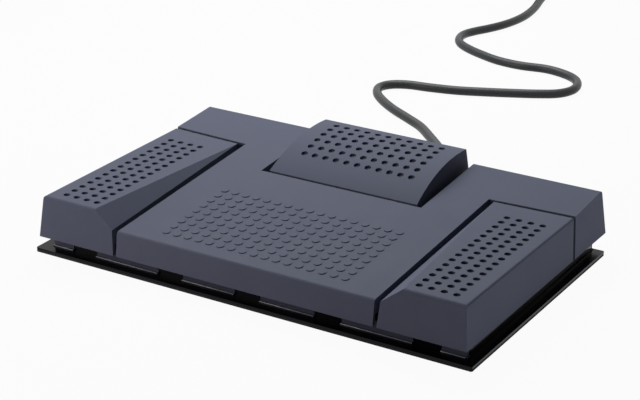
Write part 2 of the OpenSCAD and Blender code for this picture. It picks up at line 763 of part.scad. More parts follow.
// Top pedal: curved top with front lip, side walls and rear wall
function top_side_x(z, t) = top_w / 2 - t / cos(side_draft) + (top_h - z) * tan(side_draft);
module top_block(t, z0) {
  intersection() {
    along_x(-top_w, top_w) polygon([
      [top_front_y + t, z0], [top_front_y + t, sky_z],
      [rear_wall_y(sky_z, t), sky_z], [rear_wall_y(z0, t), z0]
    ]);
    rod_x(2 * (top_arc_r - t), -top_w, top_w, [top_crown_y, top_axis_z], $fn = 180);
    along_y(top_front_y - eps, rear_y + eps) polygon([
      [-top_side_x(z0, t), z0], [-top_side_x(sky_z, t), sky_z],
      [top_side_x(sky_z, t), sky_z], [top_side_x(z0, t), z0]
    ]);
  }
}
module top_pedal() {
  mid_r = top_arc_r - shell_t / 2;
  color(shell_color) difference() {
    union() {
      difference() {
        top_block(0, top_low_z);
        top_block(shell_t, top_low_z - 1);
      }
      for (s = [-1, 1])
        pedal_eye(s * (top_hinge_x - eye_step), top_hinge, arc_z(top_hinge[0] - eye_d / 2, mid_r));
      spring_seat(top_spring_x, top_spring_y, arc_z(top_spring_y - spring_seat_d / 2, mid_r));
      finger(top_switch_x, top_switch_y, arc_z(top_switch_y - finger_w / 2, mid_r));
      stop_foot(top_pad_x, top_pad_y, top_pad_fall, arc_z(top_pad_y - foot_d / 2, mid_r));
      hook(top_hook_x, top_hook_y, -1, top_hook_fall, top_hook_sway, arc_z(top_hook_y, mid_r));
    }
    pin_hole(0, top_w / 2 - shell_t, top_hinge);
    for (i = [0:top_cols - 1], j = [0:top_rows - 1]) {
      turn = (top_row_last - top_row_pitch * j) / top_arc_r * 180 / PI;
      translate([grip_pitch * (i - (top_cols - 1) / 2), top_crown_y, top_axis_z])
        rotate([-turn, 0, 0]) post(dimple_d, 0, 0, top_arc_r - dimple_depth, top_arc_r + 1);
    }
  }
}

// Base: mat, plate with bent-up lugs, tray
module at_case_screws() {
  for (s = [-1, 1], y = case_screw_y) translate([s * case_screw_x, y, 0]) children();
}
module rubber_mat() {
  color(black_color) difference() {
    rounded_plate(plate_w, front_y, front_y + plate_d, 0, mat_t, plate_r);
    at_case_screws() post(case_head_d + 1, 0, 0, -1, mat_t + 1);
  }
}
lug_top_z = wall_top_z - 2 * touch_gap;
module at_lugs() {
  for (x = [-lug_far, -lug_near, 0, lug_near, lug_far]) translate([x, 0, 0]) children();
}
module lug_block(grow, y0, z0, z1) {
  w = lug_w / 2 + grow;
  block(-w, w, y0, tray_y0 + touch_gap + plate_t + grow, z0, z1);
}
module base_plate() {
  color(black_color) difference() {
    union() {
      rounded_plate(plate_w, front_y, front_y + plate_d, mat_t, plate_t, plate_r);
      at_lugs() lug_block(0, tray_y0 + touch_gap, plate_z - eps, lug_top_z);
    }
    at_case_screws() {
      post(case_screw_d + 4 * fixed_fit, 0, 0, 0, plate_z + 1);
      translate([0, 0, mat_t]) cylinder(
        d1 = case_head_d + 2 * fixed_fit, d2 = case_screw_d + 2 * fixed_fit, h = case_head_h);
    }
  }
}
module at_board_holes() {
  dx = board_w / 2 - board_hole_in;
  dy = board_d / 2 - board_hole_in;
  for (s = [-1, 1], t = [-1, 1]) translate([board_x + s * dx, board_y + t * dy, 0]) children();
}
module at_clamp_screws() {
  for (s = [-1, 1]) translate([cord_x + s * clamp_screw_x, clamp_y, 0]) children();
}
function peg_at(y, s) = [y + s * switch_l / 4, floor_z + switch_h / 4];
module switch_bracket(x, y) {
  rib_t = 2.4;
  block(x + switch_w / 2 + fixed_fit, x + switch_w / 2 + fixed_fit + rib_t,
    y - switch_l / 2, y + switch_l / 2, floor_z - eps, switch_top_z - 1);
  for (s = [-1, 1]) rod_x(peg_d, x - switch_w / 2, x + switch_w / 2 + rib_t, peg_at(y, s));
}
module spring_cup(x, y) {
  cup_t = 1.6;
  cup_d = spring_d + 2 * spring_room;
  cup_h = 2.4;
  difference() {
    post(cup_d + 2 * cup_t, x, y, floor_z - eps, floor_z + cup_h);
    post(cup_d, x, y, floor_z, floor_z + cup_h + 1);
  }
}
module lower_tray() {
  color(shell_color) difference() {
    union() {
      difference() {
        block(-tray_x, tray_x, tray_y0, tray_y1, plate_z, wall_top_z);
        block(tray_wall_t - tray_x, tray_x - tray_wall_t, tray_y0 + tray_wall_t, tray_y1 - tray_wall_t,
          floor_z, wall_top_z + 1);
      }
      block(-tray_x - toe_w, tray_x + toe_w, tray_y0 - toe_w, tray_y1, plate_z, plate_z + toe_h);
      both_sides() {
        for (s = [-1, 1]) {
          tray_ear(pedal_mid_x + s * 3 * eye_step, side_hinge);
          tray_ear(centre_hinge_x + s * 1.5 * eye_step, centre_hinge);
        }
        tray_ear(top_hinge_x, top_hinge);
        spring_cup(pedal_mid_x, side_spring_y);
        spring_cup(centre_spring_x, centre_spring_y);
        post(pad_d + 2, pedal_mid_x, side_pad_y, floor_z - eps, floor_z + pad_post_h);
        post(pad_d + 2, centre_pad_x, centre_pad_y, floor_z - eps, floor_z + pad_post_h);
        hook_catch(pedal_mid_x, side_hook_y, 1, side_hook_fall, side_hook_sway);
        hook_catch(centre_hook_x, centre_hook_y, 1, centre_hook_fall, centre_hook_sway);
        switch_bracket(pedal_mid_x, side_switch_y);
      }
      spring_cup(top_spring_x, top_spring_y);
      post(pad_d + 2, top_pad_x, top_pad_y, floor_z - eps, floor_z + pad_post_h);
      hook_catch(top_hook_x, top_hook_y, -1, top_hook_fall, top_hook_sway);
      switch_bracket(centre_switch_x, centre_switch_y);
      switch_bracket(top_switch_x, top_switch_y);
      at_case_screws() post(case_boss_d, 0, 0, floor_z - eps, case_boss_z);
      at_board_holes() post(3 * small_screw_d, 0, 0, floor_z - eps, board_z);
      block(cord_x - clamp_w / 2, cord_x + clamp_w / 2, clamp_y - clamp_l / 2, clamp_y + clamp_l / 2,
        floor_z - eps, cord_in_z - clamp_split);
      block(cord_x - boot_flange_d / 2 - 2, cord_x + boot_flange_d / 2 + 2, tray_y1 - tray_wall_t, tray_y1,
        floor_z - eps, cord_in_z + boot_flange_d / 2 + 2);
    }
    at_lugs() lug_block(touch_gap, tray_y0 - toe_w - eps, plate_z - 1, wall_top_z + 1);
    at_case_screws() post(case_screw_d + 2 * fixed_fit, 0, 0, 0, mat_t + case_screw_l + fixed_fit);
    at_board_holes() post(small_screw_d + 2 * fixed_fit, 0, 0, floor_z, board_z + 1);
    at_clamp_screws() post(small_screw_d + 2 * fixed_fit, 0, 0, floor_z, cord_in_z + 1);
    rod_y(cord_d + 2 * fixed_fit, clamp_y - clamp_l, clamp_y + clamp_l, cord_x, cord_in_z);
    rod_y(boot_neck_d + 2 * fixed_fit, tray_y1 - 2 * tray_wall_t, tray_y1 + 1, cord_x, cord_in_z);
  }
}
module case_screws() {
  color(steel_color) at_case_screws() {
    translate([0, 0, mat_t]) cylinder(d1 = case_head_d, d2 = case_screw_d, h = case_head_h);
    post(case_screw_d, 0, 0, mat_t, mat_t + case_screw_l);
  }
}

// Hinge pins
module centre_hinge_pins() {
  reach = 2 * eye_step;
  color(steel_color) both_sides()
    rod_x(pin_d, centre_hinge_x - reach, centre_hinge_x + reach, centre_hinge);
}
module side_hinge_pin() {
  reach = 3.5 * eye_step;
  color(steel_color) rod_x(pin_d, pedal_mid_x - reach, pedal_mid_x + reach, side_hinge);
}
module right_hinge_pin() { side_hinge_pin(); }
module left_hinge_pin() { mirror([1, 0, 0]) side_hinge_pin(); }
module top_hinge_pin() {
  reach = top_hinge_x + eye_step / 2;
  color(steel_color) rod_x(pin_d, -reach, reach, top_hinge);
}

// A tube swept along points, with ends square to them and a flat side facing down
function path_dir(p, i) = unit(p[min(i + 1, len(p) - 1)] - p[max(i - 1, 0)]);
function ring(at, dir, r, sides) =
  let (side = unit(cross([0, 0, 1], dir)), up = cross(dir, side), first = sides % 4 == 0 ? 0.5 : 0)
  [for (k = [0:sides - 1]) let (a = 360 * (k + first) / sides) at + r * (cos(a) * side + sin(a) * up)];
module tube(path, d, sides) {
  r = d / 2 / cos(180 / sides);
  last = len(path) - 1;
  points = [for (i = [0:last]) each ring(path[i], path_dir(path, i), r, sides)];
  walls = [
    for (i = [0:last - 1], k = [0:sides - 1])
      let (a = i * sides + k, b = i * sides + (k + 1) % sides)
        each [[a, a + sides, b + sides], [a, b + sides, b]]
  ];
  end = last * sides;
  caps = [for (k = [1:sides - 2]) each [[0, k, k + 1], [end, end + k + 1, end + k]]];
  polyhedron(points, concat(walls, caps));
}
// A smooth line through points, n steps between neighbours, straight at both ends
function blend_at(p, i, t) =
  let (a = p[max(i - 1, 0)], b = p[i], c = p[i + 1], d = p[min(i + 2, len(p) - 1)])
  b + 0.5 * t * ((c - a) + t * ((2 * a - 5 * b + 4 * c - d) + t * (3 * b - a - 3 * c + d)));
function smooth(p, n) = concat(
  [p[0]], [for (i = [1:len(p) - 3], k = [0:n - 1]) blend_at(p, i, k / n)],
  [p[len(p) - 2], p[len(p) - 1]]);
// Least gap of a tube of diameter d to itself, at least skip points along
function least_gap(p, d, skip) = min([
  for (i = [0:len(p) - 1]) for (j = [i + skip:1:len(p) - 1]) norm(p[i] - p[j])
]) - d;

// Return springs
spring_rings = 8;
function spring_path(x, y) =
  let (z0 = floor_z + wire_d / 2 + touch_gap, z1 = spring_top_z - wire_d / 2 - touch_gap)
  [for (i = [0:spring_turns * spring_rings]) let (a = 360 * i / spring_rings, r = (spring_d - wire_d) / 2)
    [x + r * cos(a), y + r * sin(a), z0 + (z1 - z0) * i / (spring_turns * spring_rings)]];
module spring(x, y) {
  path = spring_path(x, y);
  echo(spring_least_gap = least_gap(path, wire_d, spring_rings / 2));
  color(steel_color) tube(path, wire_d, 6);
}
module centre_springs() { for (s = [-1, 1]) spring(s * centre_spring_x, centre_spring_y); }
module right_spring() { spring(pedal_mid_x, side_spring_y); }
module left_spring() { spring(-pedal_mid_x, side_spring_y); }
module top_spring() { spring(top_spring_x, top_spring_y); }

// Micro switches and their plungers
module switch_body(x, y) {
  bore_low = switch_top_z - plunger_in - plunger_out;
  color(black_color) difference() {
    block(x - switch_w / 2, x + switch_w / 2, y - switch_l / 2, y + switch_l / 2, floor_z, switch_top_z);
    post(plunger_d + 2 * plunger_fit, x, y, bore_low, switch_top_z + 1);
    for (s = [-1, 1]) rod_x(peg_d + 2 * fixed_fit, x - switch_w, x + switch_w, peg_at(y, s));
  }
}
module plunger(x, y) {
  color("firebrick") post(plunger_d, x, y, switch_top_z - plunger_in, plunger_top_z);
}
module left_switch() { mirror([1, 0, 0]) switch_body(pedal_mid_x, side_switch_y); }
module right_switch() { switch_body(pedal_mid_x, side_switch_y); }
module centre_switch() { switch_body(centre_switch_x, centre_switch_y); }
module top_switch() { switch_body(top_switch_x, top_switch_y); }
module left_plunger() { plunger(-pedal_mid_x, side_switch_y); }
module right_plunger() { plunger(pedal_mid_x, side_switch_y); }
module centre_plunger() { plunger(centre_switch_x, centre_switch_y); }
module top_plunger() { plunger(top_switch_x, top_switch_y); }

// Rubber pads that end the pedals' swing
module stop_pads() {
  z = floor_z + pad_post_h;
  color(black_color) {
    both_sides() {
      post(pad_d, pedal_mid_x, side_pad_y, z, pad_top_z);
      post(pad_d, centre_pad_x, centre_pad_y, z, pad_top_z);
    }
    post(pad_d, top_pad_x, top_pad_y, z, pad_top_z);
  }
}

// Control board and what sits on it
module control_board() {
  color("darkgreen") difference() {
    block(board_x - board_w / 2, board_x + board_w / 2, board_y - board_d / 2, board_rear_y,
      board_z, board_top_z);
    at_board_holes() post(small_screw_d + 4 * fixed_fit, 0, 0, board_z - 1, board_top_z + 1);
  }
}
module board_screws() {
  color(steel_color) at_board_holes() {
    post(small_screw_d, 0, 0, screw_tip_z, board_top_z + eps);
    post(small_head_d, 0, 0, board_top_z, board_top_z + small_head_h);
  }
}
module controller_chip() {
  color(black_color) translate([board_x, board_y - 8, board_top_z])
    block(-chip_w / 2, chip_w / 2, -chip_w / 2, chip_w / 2, 0, chip_t);
}
module crystal_can() {
  can_d = 4.6;
  can_l = 6;
  can_h = 3.6;
  color(steel_color) translate([board_x + 15, board_y - 8, board_top_z]) {
    block(-can_l / 2, can_l / 2, -can_d / 2, can_d / 2, 0, can_h);
    for (s = [-1, 1]) post(can_d, s * can_l / 2, 0, 0, can_h);
  }
}
// White sockets at the ends of the leads
module socket(x0, y0, w, d, h) {
  block(x0, x0 + w, y0, y0 + d, board_top_z, board_top_z + h);
}
module lead_connectors() {
  side_x = board_w / 2 - connector_d / 2;
  color("whitesmoke") {
    for (x = [board_x - side_x, board_x + side_x])
      socket(x - connector_d / 2, side_plug_y - connector_w / 2, connector_d, connector_w, connector_h);
    for (x = [centre_plug_x, top_plug_x])
      socket(x - connector_w / 2, board_rear_y - connector_d, connector_w, connector_d, connector_h);
  }
}
module cord_connector() {
  w = cord_d + 3;
  color("ivory") socket(cord_x - w / 2, board_rear_y - connector_d, w, connector_d, cord_connector_h);
}

// Cord inside the case, its clamp and its strain relief
module inner_cable() {
  end_y = tray_y1 - tray_wall_t - fixed_fit - boot_flange_t;
  color(cord_color) rod_y(cord_d, board_rear_y, end_y, cord_x, cord_in_z);
}
module cable_clamp() {
  color(shell_color) difference() {
    block(cord_x - clamp_w / 2, cord_x + clamp_w / 2, clamp_y - clamp_l / 2, clamp_y + clamp_l / 2,
      cord_in_z, clamp_top_z);
    rod_y(cord_d + 2 * fixed_fit, clamp_y - clamp_l, clamp_y + clamp_l, cord_x, cord_in_z);
    at_clamp_screws() post(small_screw_d + 2 * fixed_fit, 0, 0, cord_in_z - 1, clamp_top_z + 1);
  }
}
module clamp_screws() {
  color(steel_color) at_clamp_screws() {
    post(small_screw_d, 0, 0, screw_tip_z, clamp_top_z + eps);
    post(small_head_d, 0, 0, clamp_top_z, clamp_top_z + small_head_h);
  }
}
module strain_relief() {
  inner_y = tray_y1 - tray_wall_t - fixed_fit;
  outer_y = tray_y1 + fixed_fit;
  color(cord_color) {
    rod_y(boot_flange_d, inner_y - boot_flange_t, inner_y, cord_x, cord_in_z);
    rod_y(boot_neck_d, inner_y - eps, outer_y + eps, cord_x, cord_in_z);
    rod_y(boot_flange_d, outer_y, outer_y + boot_flange_t, cord_x, cord_in_z);
    translate([cord_x, outer_y, cord_in_z]) rotate([-90, 0, 0])
      cylinder(d1 = boot_flange_d - 1, d2 = boot_tip_d, h = boot_tip_y - outer_y);
  }
}

// Switch leads
module lead(route) {
  color("dimgray") tube(smooth(route, 3), lead_d, 8);
}
module left_lead() { lead(side_lead_route(-1)); }
module right_lead() { lead(side_lead_route(1)); }
module centre_lead() { lead(rear_lead_route(centre_switch_x, centre_switch_y, centre_plug_x)); }
module top_lead() { lead(rear_lead_route(top_switch_x, top_switch_y, top_plug_x)); }

// Cord on the floor, the put-away coil and its tie
coil_rings = 24;
coil_path = concat(
  [coil_start], [for (i = [0:coil_turns * coil_rings]) coil_at(i / coil_rings)], [coil_end]);
module cord_run() { color(cord_color) tube(smooth(run_route, 2), cord_d, 12); }
module cord_coil() {
  echo(coil_least_gap = least_gap(coil_path, cord_d, coil_rings / 2));
  color(cord_color) tube(coil_path, cord_d, 6);
}
module cord_tail() { color(cord_color) tube(smooth(tail_route, 2), cord_d, 12); }
// The tie stands where the turns cross the angle of three quarters of a turn
tie_turns = [for (u = [0.75:1:coil_turns]) coil_r(u)];
module coil_tie() {
  reach = cord_d / 2 / cos(30) + 1;
  y0 = coil_c[1] - max(tie_turns) - reach;
  y1 = coil_c[1] - min(tie_turns) + reach;
  z0 = coil_z[0] - cord_d / 2 - tie_room;
  z1 = coil_z[1] + cord_d / 2 + tie_room;
  color(black_color) difference() {
    block(coil_c[0] - tie_w / 2, coil_c[0] + tie_w / 2, y0 - tie_t, y1 + tie_t, z0 - tie_t, z1 + tie_t);
    block(coil_c[0] - tie_w, coil_c[0] + tie_w, y0, y1, z0, z1);
  }
}

// USB plug at the end, pointing back along Y
plug_face_y = plug_axis[1] - grip_l;
plug_root = 6;
plug_back_t = 0.4;
module plug_grip() {
  x = plug_axis[0];
  z = plug_axis[2];
  r = grip_h / 4;
  color(cord_color) difference() {
    union() {
      along_y(plug_face_y, plug_axis[1]) translate([x, z]) {
        square([grip_w - 2 * r, grip_h], center = true);
        square([grip_w, grip_h - 2 * r], center = true);
        for (i = [-1, 1], k = [-1, 1]) translate([i * (grip_w / 2 - r), k * (grip_h / 2 - r)]) circle(r);
      }
      translate([x, plug_axis[1] - eps, z]) rotate([-90, 0, 0])
        cylinder(d1 = grip_h - 0.2, d2 = cord_d + 0.6, h = plug_neck_l + eps);
    }
    block(x - plug_w / 2 - fixed_fit, x + plug_w / 2 + fixed_fit, plug_face_y - 1, plug_face_y + plug_root,
      z - plug_h / 2 - fixed_fit, z + plug_h / 2 + fixed_fit);
  }
}
module plug_shell() {
  x = plug_axis[0];
  z = plug_axis[2];
  y0 = plug_face_y - plug_l;
  y1 = plug_face_y + plug_root - fixed_fit;
  window = [2.2, 2.4];
  window_in = 5.2;
  color(steel_color) difference() {
    block(x - plug_w / 2, x + plug_w / 2, y0, y1, z - plug_h / 2, z + plug_h / 2);
    block(x - plug_w / 2 + plug_t, x + plug_w / 2 - plug_t, y0 - 1, y1 - plug_back_t,
      z - plug_h / 2 + plug_t, z + plug_h / 2 - plug_t);
    for (s = [-1, 1]) translate([x + s * 2.5 - window[0] / 2, y0 + window_in, z])
      cube([window[0], window[1], plug_h]);
  }
}
module plug_tongue() {
  x = plug_axis[0];
  z0 = plug_axis[2] - plug_h / 2 + plug_t;
  side = plug_w / 2 - plug_t - fixed_fit;
  y0 = plug_face_y - plug_l + 1;
  y1 = plug_face_y + plug_root - 2 * fixed_fit - plug_back_t;
  color("whitesmoke") block(x - side, x + side, y0, y1, z0, z0 + 1.9);
}

rubber_mat();
base_plate();
lower_tray();
case_screws();
centre_pedal();
left_pedal();
right_pedal();
top_pedal();
centre_hinge_pins();
left_hinge_pin();
right_hinge_pin();
top_hinge_pin();
centre_springs();
left_spring();
right_spring();
top_spring();
left_switch();
right_switch();
centre_switch();
top_switch();
left_plunger();
right_plunger();
centre_plunger();
top_plunger();
stop_pads();
control_board();
controller_chip();
crystal_can();
lead_connectors();
cord_connector();
board_screws();
inner_cable();
cable_clamp();
clamp_screws();
left_lead();
right_lead();
centre_lead();
top_lead();
strain_relief();
cord_run();
cord_coil();
coil_tie();
cord_tail();
plug_grip();
plug_shell();
plug_tongue();
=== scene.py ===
# %% [markdown]
# # A foot switch with four pedals
# The real object is a moulded plastic foot switch. Two long pedals stand at its
# sides, a wide panel between them is a pedal too, and a curved one rises behind.
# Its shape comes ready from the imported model, in metres, so nothing is fitted by
# eye here. The lesson dresses that model: camera, cord, finishes, small parts and
# light.

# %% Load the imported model
import math

import bmesh
import bpy
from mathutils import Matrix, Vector


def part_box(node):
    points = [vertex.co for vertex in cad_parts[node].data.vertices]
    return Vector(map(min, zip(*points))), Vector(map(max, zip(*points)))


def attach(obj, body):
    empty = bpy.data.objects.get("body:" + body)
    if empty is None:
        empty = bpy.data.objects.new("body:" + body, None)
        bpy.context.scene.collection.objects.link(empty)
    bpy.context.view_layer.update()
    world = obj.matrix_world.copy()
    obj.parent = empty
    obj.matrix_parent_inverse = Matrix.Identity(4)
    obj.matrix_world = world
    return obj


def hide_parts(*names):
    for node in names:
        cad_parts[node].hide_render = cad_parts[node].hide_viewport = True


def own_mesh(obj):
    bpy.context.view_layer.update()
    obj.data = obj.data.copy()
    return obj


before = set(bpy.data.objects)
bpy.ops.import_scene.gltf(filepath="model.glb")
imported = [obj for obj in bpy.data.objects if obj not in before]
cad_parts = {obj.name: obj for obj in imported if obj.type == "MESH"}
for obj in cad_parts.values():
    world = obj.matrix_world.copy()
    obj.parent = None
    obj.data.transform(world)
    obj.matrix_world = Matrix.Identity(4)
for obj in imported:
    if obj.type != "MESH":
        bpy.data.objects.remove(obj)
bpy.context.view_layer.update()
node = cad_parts
MM = 0.001

# %% [markdown]
# ## Camera
# The picture was taken from the right, a little above the pedals, with a long
# lens. A camera can be turned by angles, but aiming it at a point is easier to
# read: Blender turns the view axis towards the aim and keeps the picture upright.

# %% Aim the camera
CAMERA_PLACE = Vector((558.62, -915.54, 488.10)) * MM
CAMERA_AIM = Vector((-20.18, 29.01, 20.30)) * MM
SENSOR_W, LENS = 36.0, 103.88


def aim_at(thing, place, target):
    """Puts a camera or a lamp at a place and turns its view axis to the target."""
    thing.location = place
    thing.rotation_mode = "QUATERNION"
    thing.rotation_quaternion = (Vector(target) - thing.location).to_track_quat("-Z", "Y")


scene = bpy.context.scene
camera = bpy.data.objects.new("camera", bpy.data.cameras.new("camera"))
scene.collection.objects.link(camera)
aim_at(camera, CAMERA_PLACE, CAMERA_AIM)
camera.data.sensor_width = SENSOR_W
camera.data.lens = LENS
scene.camera = camera
print("camera stands", round((CAMERA_AIM - CAMERA_PLACE).length, 3), "m away")

# %% [markdown]
# ## Route of the cord
# The cord leaves the rear wall, comes down to the floor, swings left and right
# behind the object and ends in a tied coil with the plug beside it. A bezier
# curve would need handles at each point. A chain of places with a smooth line
# through them is easier to check against the model, so that is used.

# %% Places along the cord
CORD_D, FLOOR_GAP = 7.0, 0.1
LYING_Z = CORD_D / 2 + FLOOR_GAP
EXIT_X, EXIT_STRAIGHT = 10, 10
exit_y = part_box("strain_relief")[1].y / MM
exit_z = sum(corner.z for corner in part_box("strain_relief")) / 2 / MM
drop_places = [(EXIT_X, exit_y, exit_z), (EXIT_X, exit_y + EXIT_STRAIGHT, exit_z),
               (9, 146, 7.5), (4, 162, 4)]
floor_places = [
    (-6, 177), (-19, 191), (-33, 205), (-50, 221), (-67, 232), (-85, 243), (-101, 255),
    (-114, 268), (-120, 281), (-116, 292), (-104, 299), (-86, 302), (-65, 307),
    (-45, 315), (-25, 324), (-7, 333), (6, 342), (12, 354), (11, 367), (4, 379),
    (-9, 387), (-27, 391), (-49, 388), (-70, 390), (-89, 397), (-105, 405), (-117, 414),
    (-124, 425), (-126, 438), (-122, 451), (-116, 463), (-110, 478), (-106, 496),
    (-105, 516), (-108, 540),
]
print("cord leaves the wall at", round(exit_y, 1), "mm and lies on", len(floor_places), "places")

# %% [markdown]
# ## Coil of spare cord
# Spare cord is wound up and tied. Its turns go in on a lower layer, climb near the
# smallest turn and come out on an upper layer, as a cord lies when it is wound by
# hand. Setting out such turns by eye is slow, so a formula gives the place at any
# turn and keeps the turns one step apart.

# %% Wind the coil
COIL_X, COIL_Y, COIL_R = -162.0, 606.0, 27.0
COIL_LOW_Z, COIL_STEP, COIL_TURNS = LYING_Z + 1.0, 7.7, 5.25
SOFT_TURN, CLIMB_TURNS, POINTS_PER_TURN = 0.1, 0.5, 48


def coil_place(turn):
    """A place in the coil: in along the lower layer, then out along the upper one."""
    past_middle = turn - COIL_TURNS / 2
    radius = COIL_R + COIL_STEP * (math.hypot(past_middle, SOFT_TURN) - SOFT_TURN)
    share = min(max(past_middle / CLIMB_TURNS + 0.5, 0), 1)
    lift = COIL_STEP * share * share * (3 - 2 * share)
    angle = 2 * math.pi * turn
    return Vector((COIL_X + radius * math.cos(angle),
                   COIL_Y + radius * math.sin(angle), COIL_LOW_Z + lift))


coil_steps = round(COIL_TURNS * POINTS_PER_TURN)
coil_line = [coil_place(COIL_TURNS * i / coil_steps) for i in range(coil_steps + 1)]
print("coil of", COIL_TURNS, "turns in", len(coil_line), "points")

# %% [markdown]
# ## Middle line of the cord
# A thick jacket bends in long curves. Straight lines from place to place would show
# corners, so each stretch is a cubic that looks at the places on either side of it
# and passes through every place without a kink. The first and the last stretch stay
# straight, as a cord does where it leaves a sleeve.

# %% Join the places to one line
PLUG_X, PLUG_Y, PLUG_Z = -217.0, 600.0, 4.0
GRIP_REACH, GRIP_STRAIGHT = 9, 9
COIL_STRAIGHT, TAIL_STRAIGHT, CORD_STEPS = 12, 8, 8


def smooth_line(places, steps):
    """Points on a smooth line through the places, straight at both ends."""
    p = [Vector(place) for place in places]
    line = [p[0]]
    for i in range(1, len(p) - 2):
        a, b, c, d = p[i - 1], p[i], p[i + 1], p[i + 2]
        for k in range(steps):
            t = k / steps
            line.append(b + 0.5 * t * ((c - a) + t * (
                (2 * a - 5 * b + 4 * c - d) + t * (3 * b - a - 3 * c + d))))
    return line + p[-2:]


coil_start = coil_place(0) - Vector((0, CORD_D, 0))
coil_end = coil_place(COIL_TURNS) - Vector((CORD_D, 0, 0))
run_places = drop_places + [(x, y, LYING_Z) for x, y in floor_places]
run_places += [(-114, 568, COIL_LOW_Z), coil_start - Vector((0, COIL_STRAIGHT, 0)), coil_start]
tail_places = [coil_end, coil_end - Vector((TAIL_STRAIGHT, 0, 0)),
               (-190, 648, 12), (-203, 639, 9), (-212, 627, 5.5),
               (PLUG_X, PLUG_Y + GRIP_REACH + GRIP_STRAIGHT, PLUG_Z),
               (PLUG_X, PLUG_Y + GRIP_REACH, PLUG_Z)]
run_line = smooth_line(run_places, CORD_STEPS)
tail_line = smooth_line(tail_places, CORD_STEPS)
cord_line = run_line[:-1] + coil_line + tail_line[1:]

# %% [markdown]
# ## Cord as a curve
# The jacket is plain round plastic. A curve with a round bevel gives that shape
# from its middle line alone and stays light to edit, so no mesh tube is needed.
# The bevel is one unit deep and each point's radius brings it down to the cord's
# size, because Blender adds that radius to the curve's box.

# %% Draw the cord
CORD_ROUNDNESS = 6


def wire_along(name, lines, diameter_mm, roundness=4):
    """A curve with a round section and one open spline for each line."""
    curve = bpy.data.curves.new(name, "CURVE")
    curve.dimensions = "3D"
    curve.bevel_depth = 1.0
    curve.bevel_resolution = roundness
    curve.use_fill_caps = True
    for line in lines:
        spline = curve.splines.new("POLY")
        spline.points.add(len(line) - 1)
        for point, place in zip(spline.points, line):
            point.co = (*(Vector(place) * MM), 1)
            point.radius = diameter_mm / 2 * MM
    wire = bpy.data.objects.new(name, curve)
    scene.collection.objects.link(wire)
    return wire


cord = wire_along("cord", [cord_line], CORD_D, CORD_ROUNDNESS)
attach(cord, "base")
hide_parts("cord_run", "cord_coil", "cord_tail")
print("cord drawn", CORD_D, "mm thick")

# %% [markdown]
# ## Noise for the finishes
# A real surface is never one flat colour. Each finish here has three layers of
# detail: slow patches in its colour, a little spread in its gloss, and a fine
# grain that tilts the light. Noise in the object's own metres drives all three,
# so the grain has its true size and no picture has to be wrapped on.

# %% Noise of a true size
NOISE_LOW, NOISE_HIGH = 0.3, 0.7


def speckle(tree, size_mm, detail=2.0):
    """Noise whose spots are about size_mm wide."""
    place = tree.nodes.new("ShaderNodeTexCoord")
    noise = tree.nodes.new("ShaderNodeTexNoise")
    noise.inputs["Scale"].default_value = 1 / (size_mm * MM)
    noise.inputs["Detail"].default_value = detail
    tree.links.new(place.outputs["Object"], noise.inputs["Vector"])
    return noise.outputs["Fac"]


def between(tree, share, dark, light):
    """A colour that goes from dark to light through the middle part of the noise."""
    ramp = tree.nodes.new("ShaderNodeValToRGB")
    stops = zip(ramp.color_ramp.elements, (NOISE_LOW, NOISE_HIGH), (dark, light))
    for stop, place, shade in stops:
        stop.position = place
        stop.color = (*shade, 1)
    tree.links.new(share, ramp.inputs["Fac"])
    return ramp.outputs["Color"]


def spread(tree, share, low, high):
    """A number that goes from low to high through the middle part of the noise."""
    level = tree.nodes.new("ShaderNodeMapRange")
    level.inputs["From Min"].default_value = NOISE_LOW
    level.inputs["From Max"].default_value = NOISE_HIGH
    level.inputs["To Min"].default_value = low
    level.inputs["To Max"].default_value = high
    tree.links.new(share, level.inputs["Value"])
    return level.outputs["Result"]


print("finishes use the noise from", NOISE_LOW, "to", NOISE_HIGH)

# %% [markdown]
# ## One way to build every finish
# Moulded plastic, paint, rubber and plated steel differ in their shades, gloss and
# grain, but not in how they are put together. One function therefore builds them
# all on the principled shader. The patches drive colour and gloss together, and the
# grain goes through a bump node, which tilts the light without adding faces.

# %% Build a finish and put it on
PATCH_DETAIL = 4.0


def raise_grain(tree, shader, height, depth_mm):
    """Lets the noise tilt the surface as if it were depth_mm high."""
    bump = tree.nodes.new("ShaderNodeBump")
    bump.inputs["Distance"].default_value = depth_mm * MM
    tree.links.new(height, bump.inputs["Height"])
    tree.links.new(bump.outputs["Normal"], shader.inputs["Normal"])


def grained(name, dark, light, rough, grain_mm, depth_mm, patch_mm=18.0, metal=0.0, specular=0.5):
    """A finish with patches of two shades, uneven gloss and a fine grain."""
    finish = bpy.data.materials.new(name)
    finish.use_nodes = True
    tree = finish.node_tree
    shader = tree.nodes["Principled BSDF"]
    patches = speckle(tree, patch_mm, PATCH_DETAIL)
    tree.links.new(between(tree, patches, dark, light), shader.inputs["Base Color"])
    tree.links.new(spread(tree, patches, *rough), shader.inputs["Roughness"])
    raise_grain(tree, shader, speckle(tree, grain_mm), depth_mm)
    shader.inputs["Metallic"].default_value = metal
    shader.inputs["Specular IOR Level"].default_value = specular
    return finish


def dress(finish, *names):
    """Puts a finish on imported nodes."""
    for name in names:
        for slot in node[name].material_slots:
            slot.material = finish
    print(finish.name, "on", len(names), "nodes")
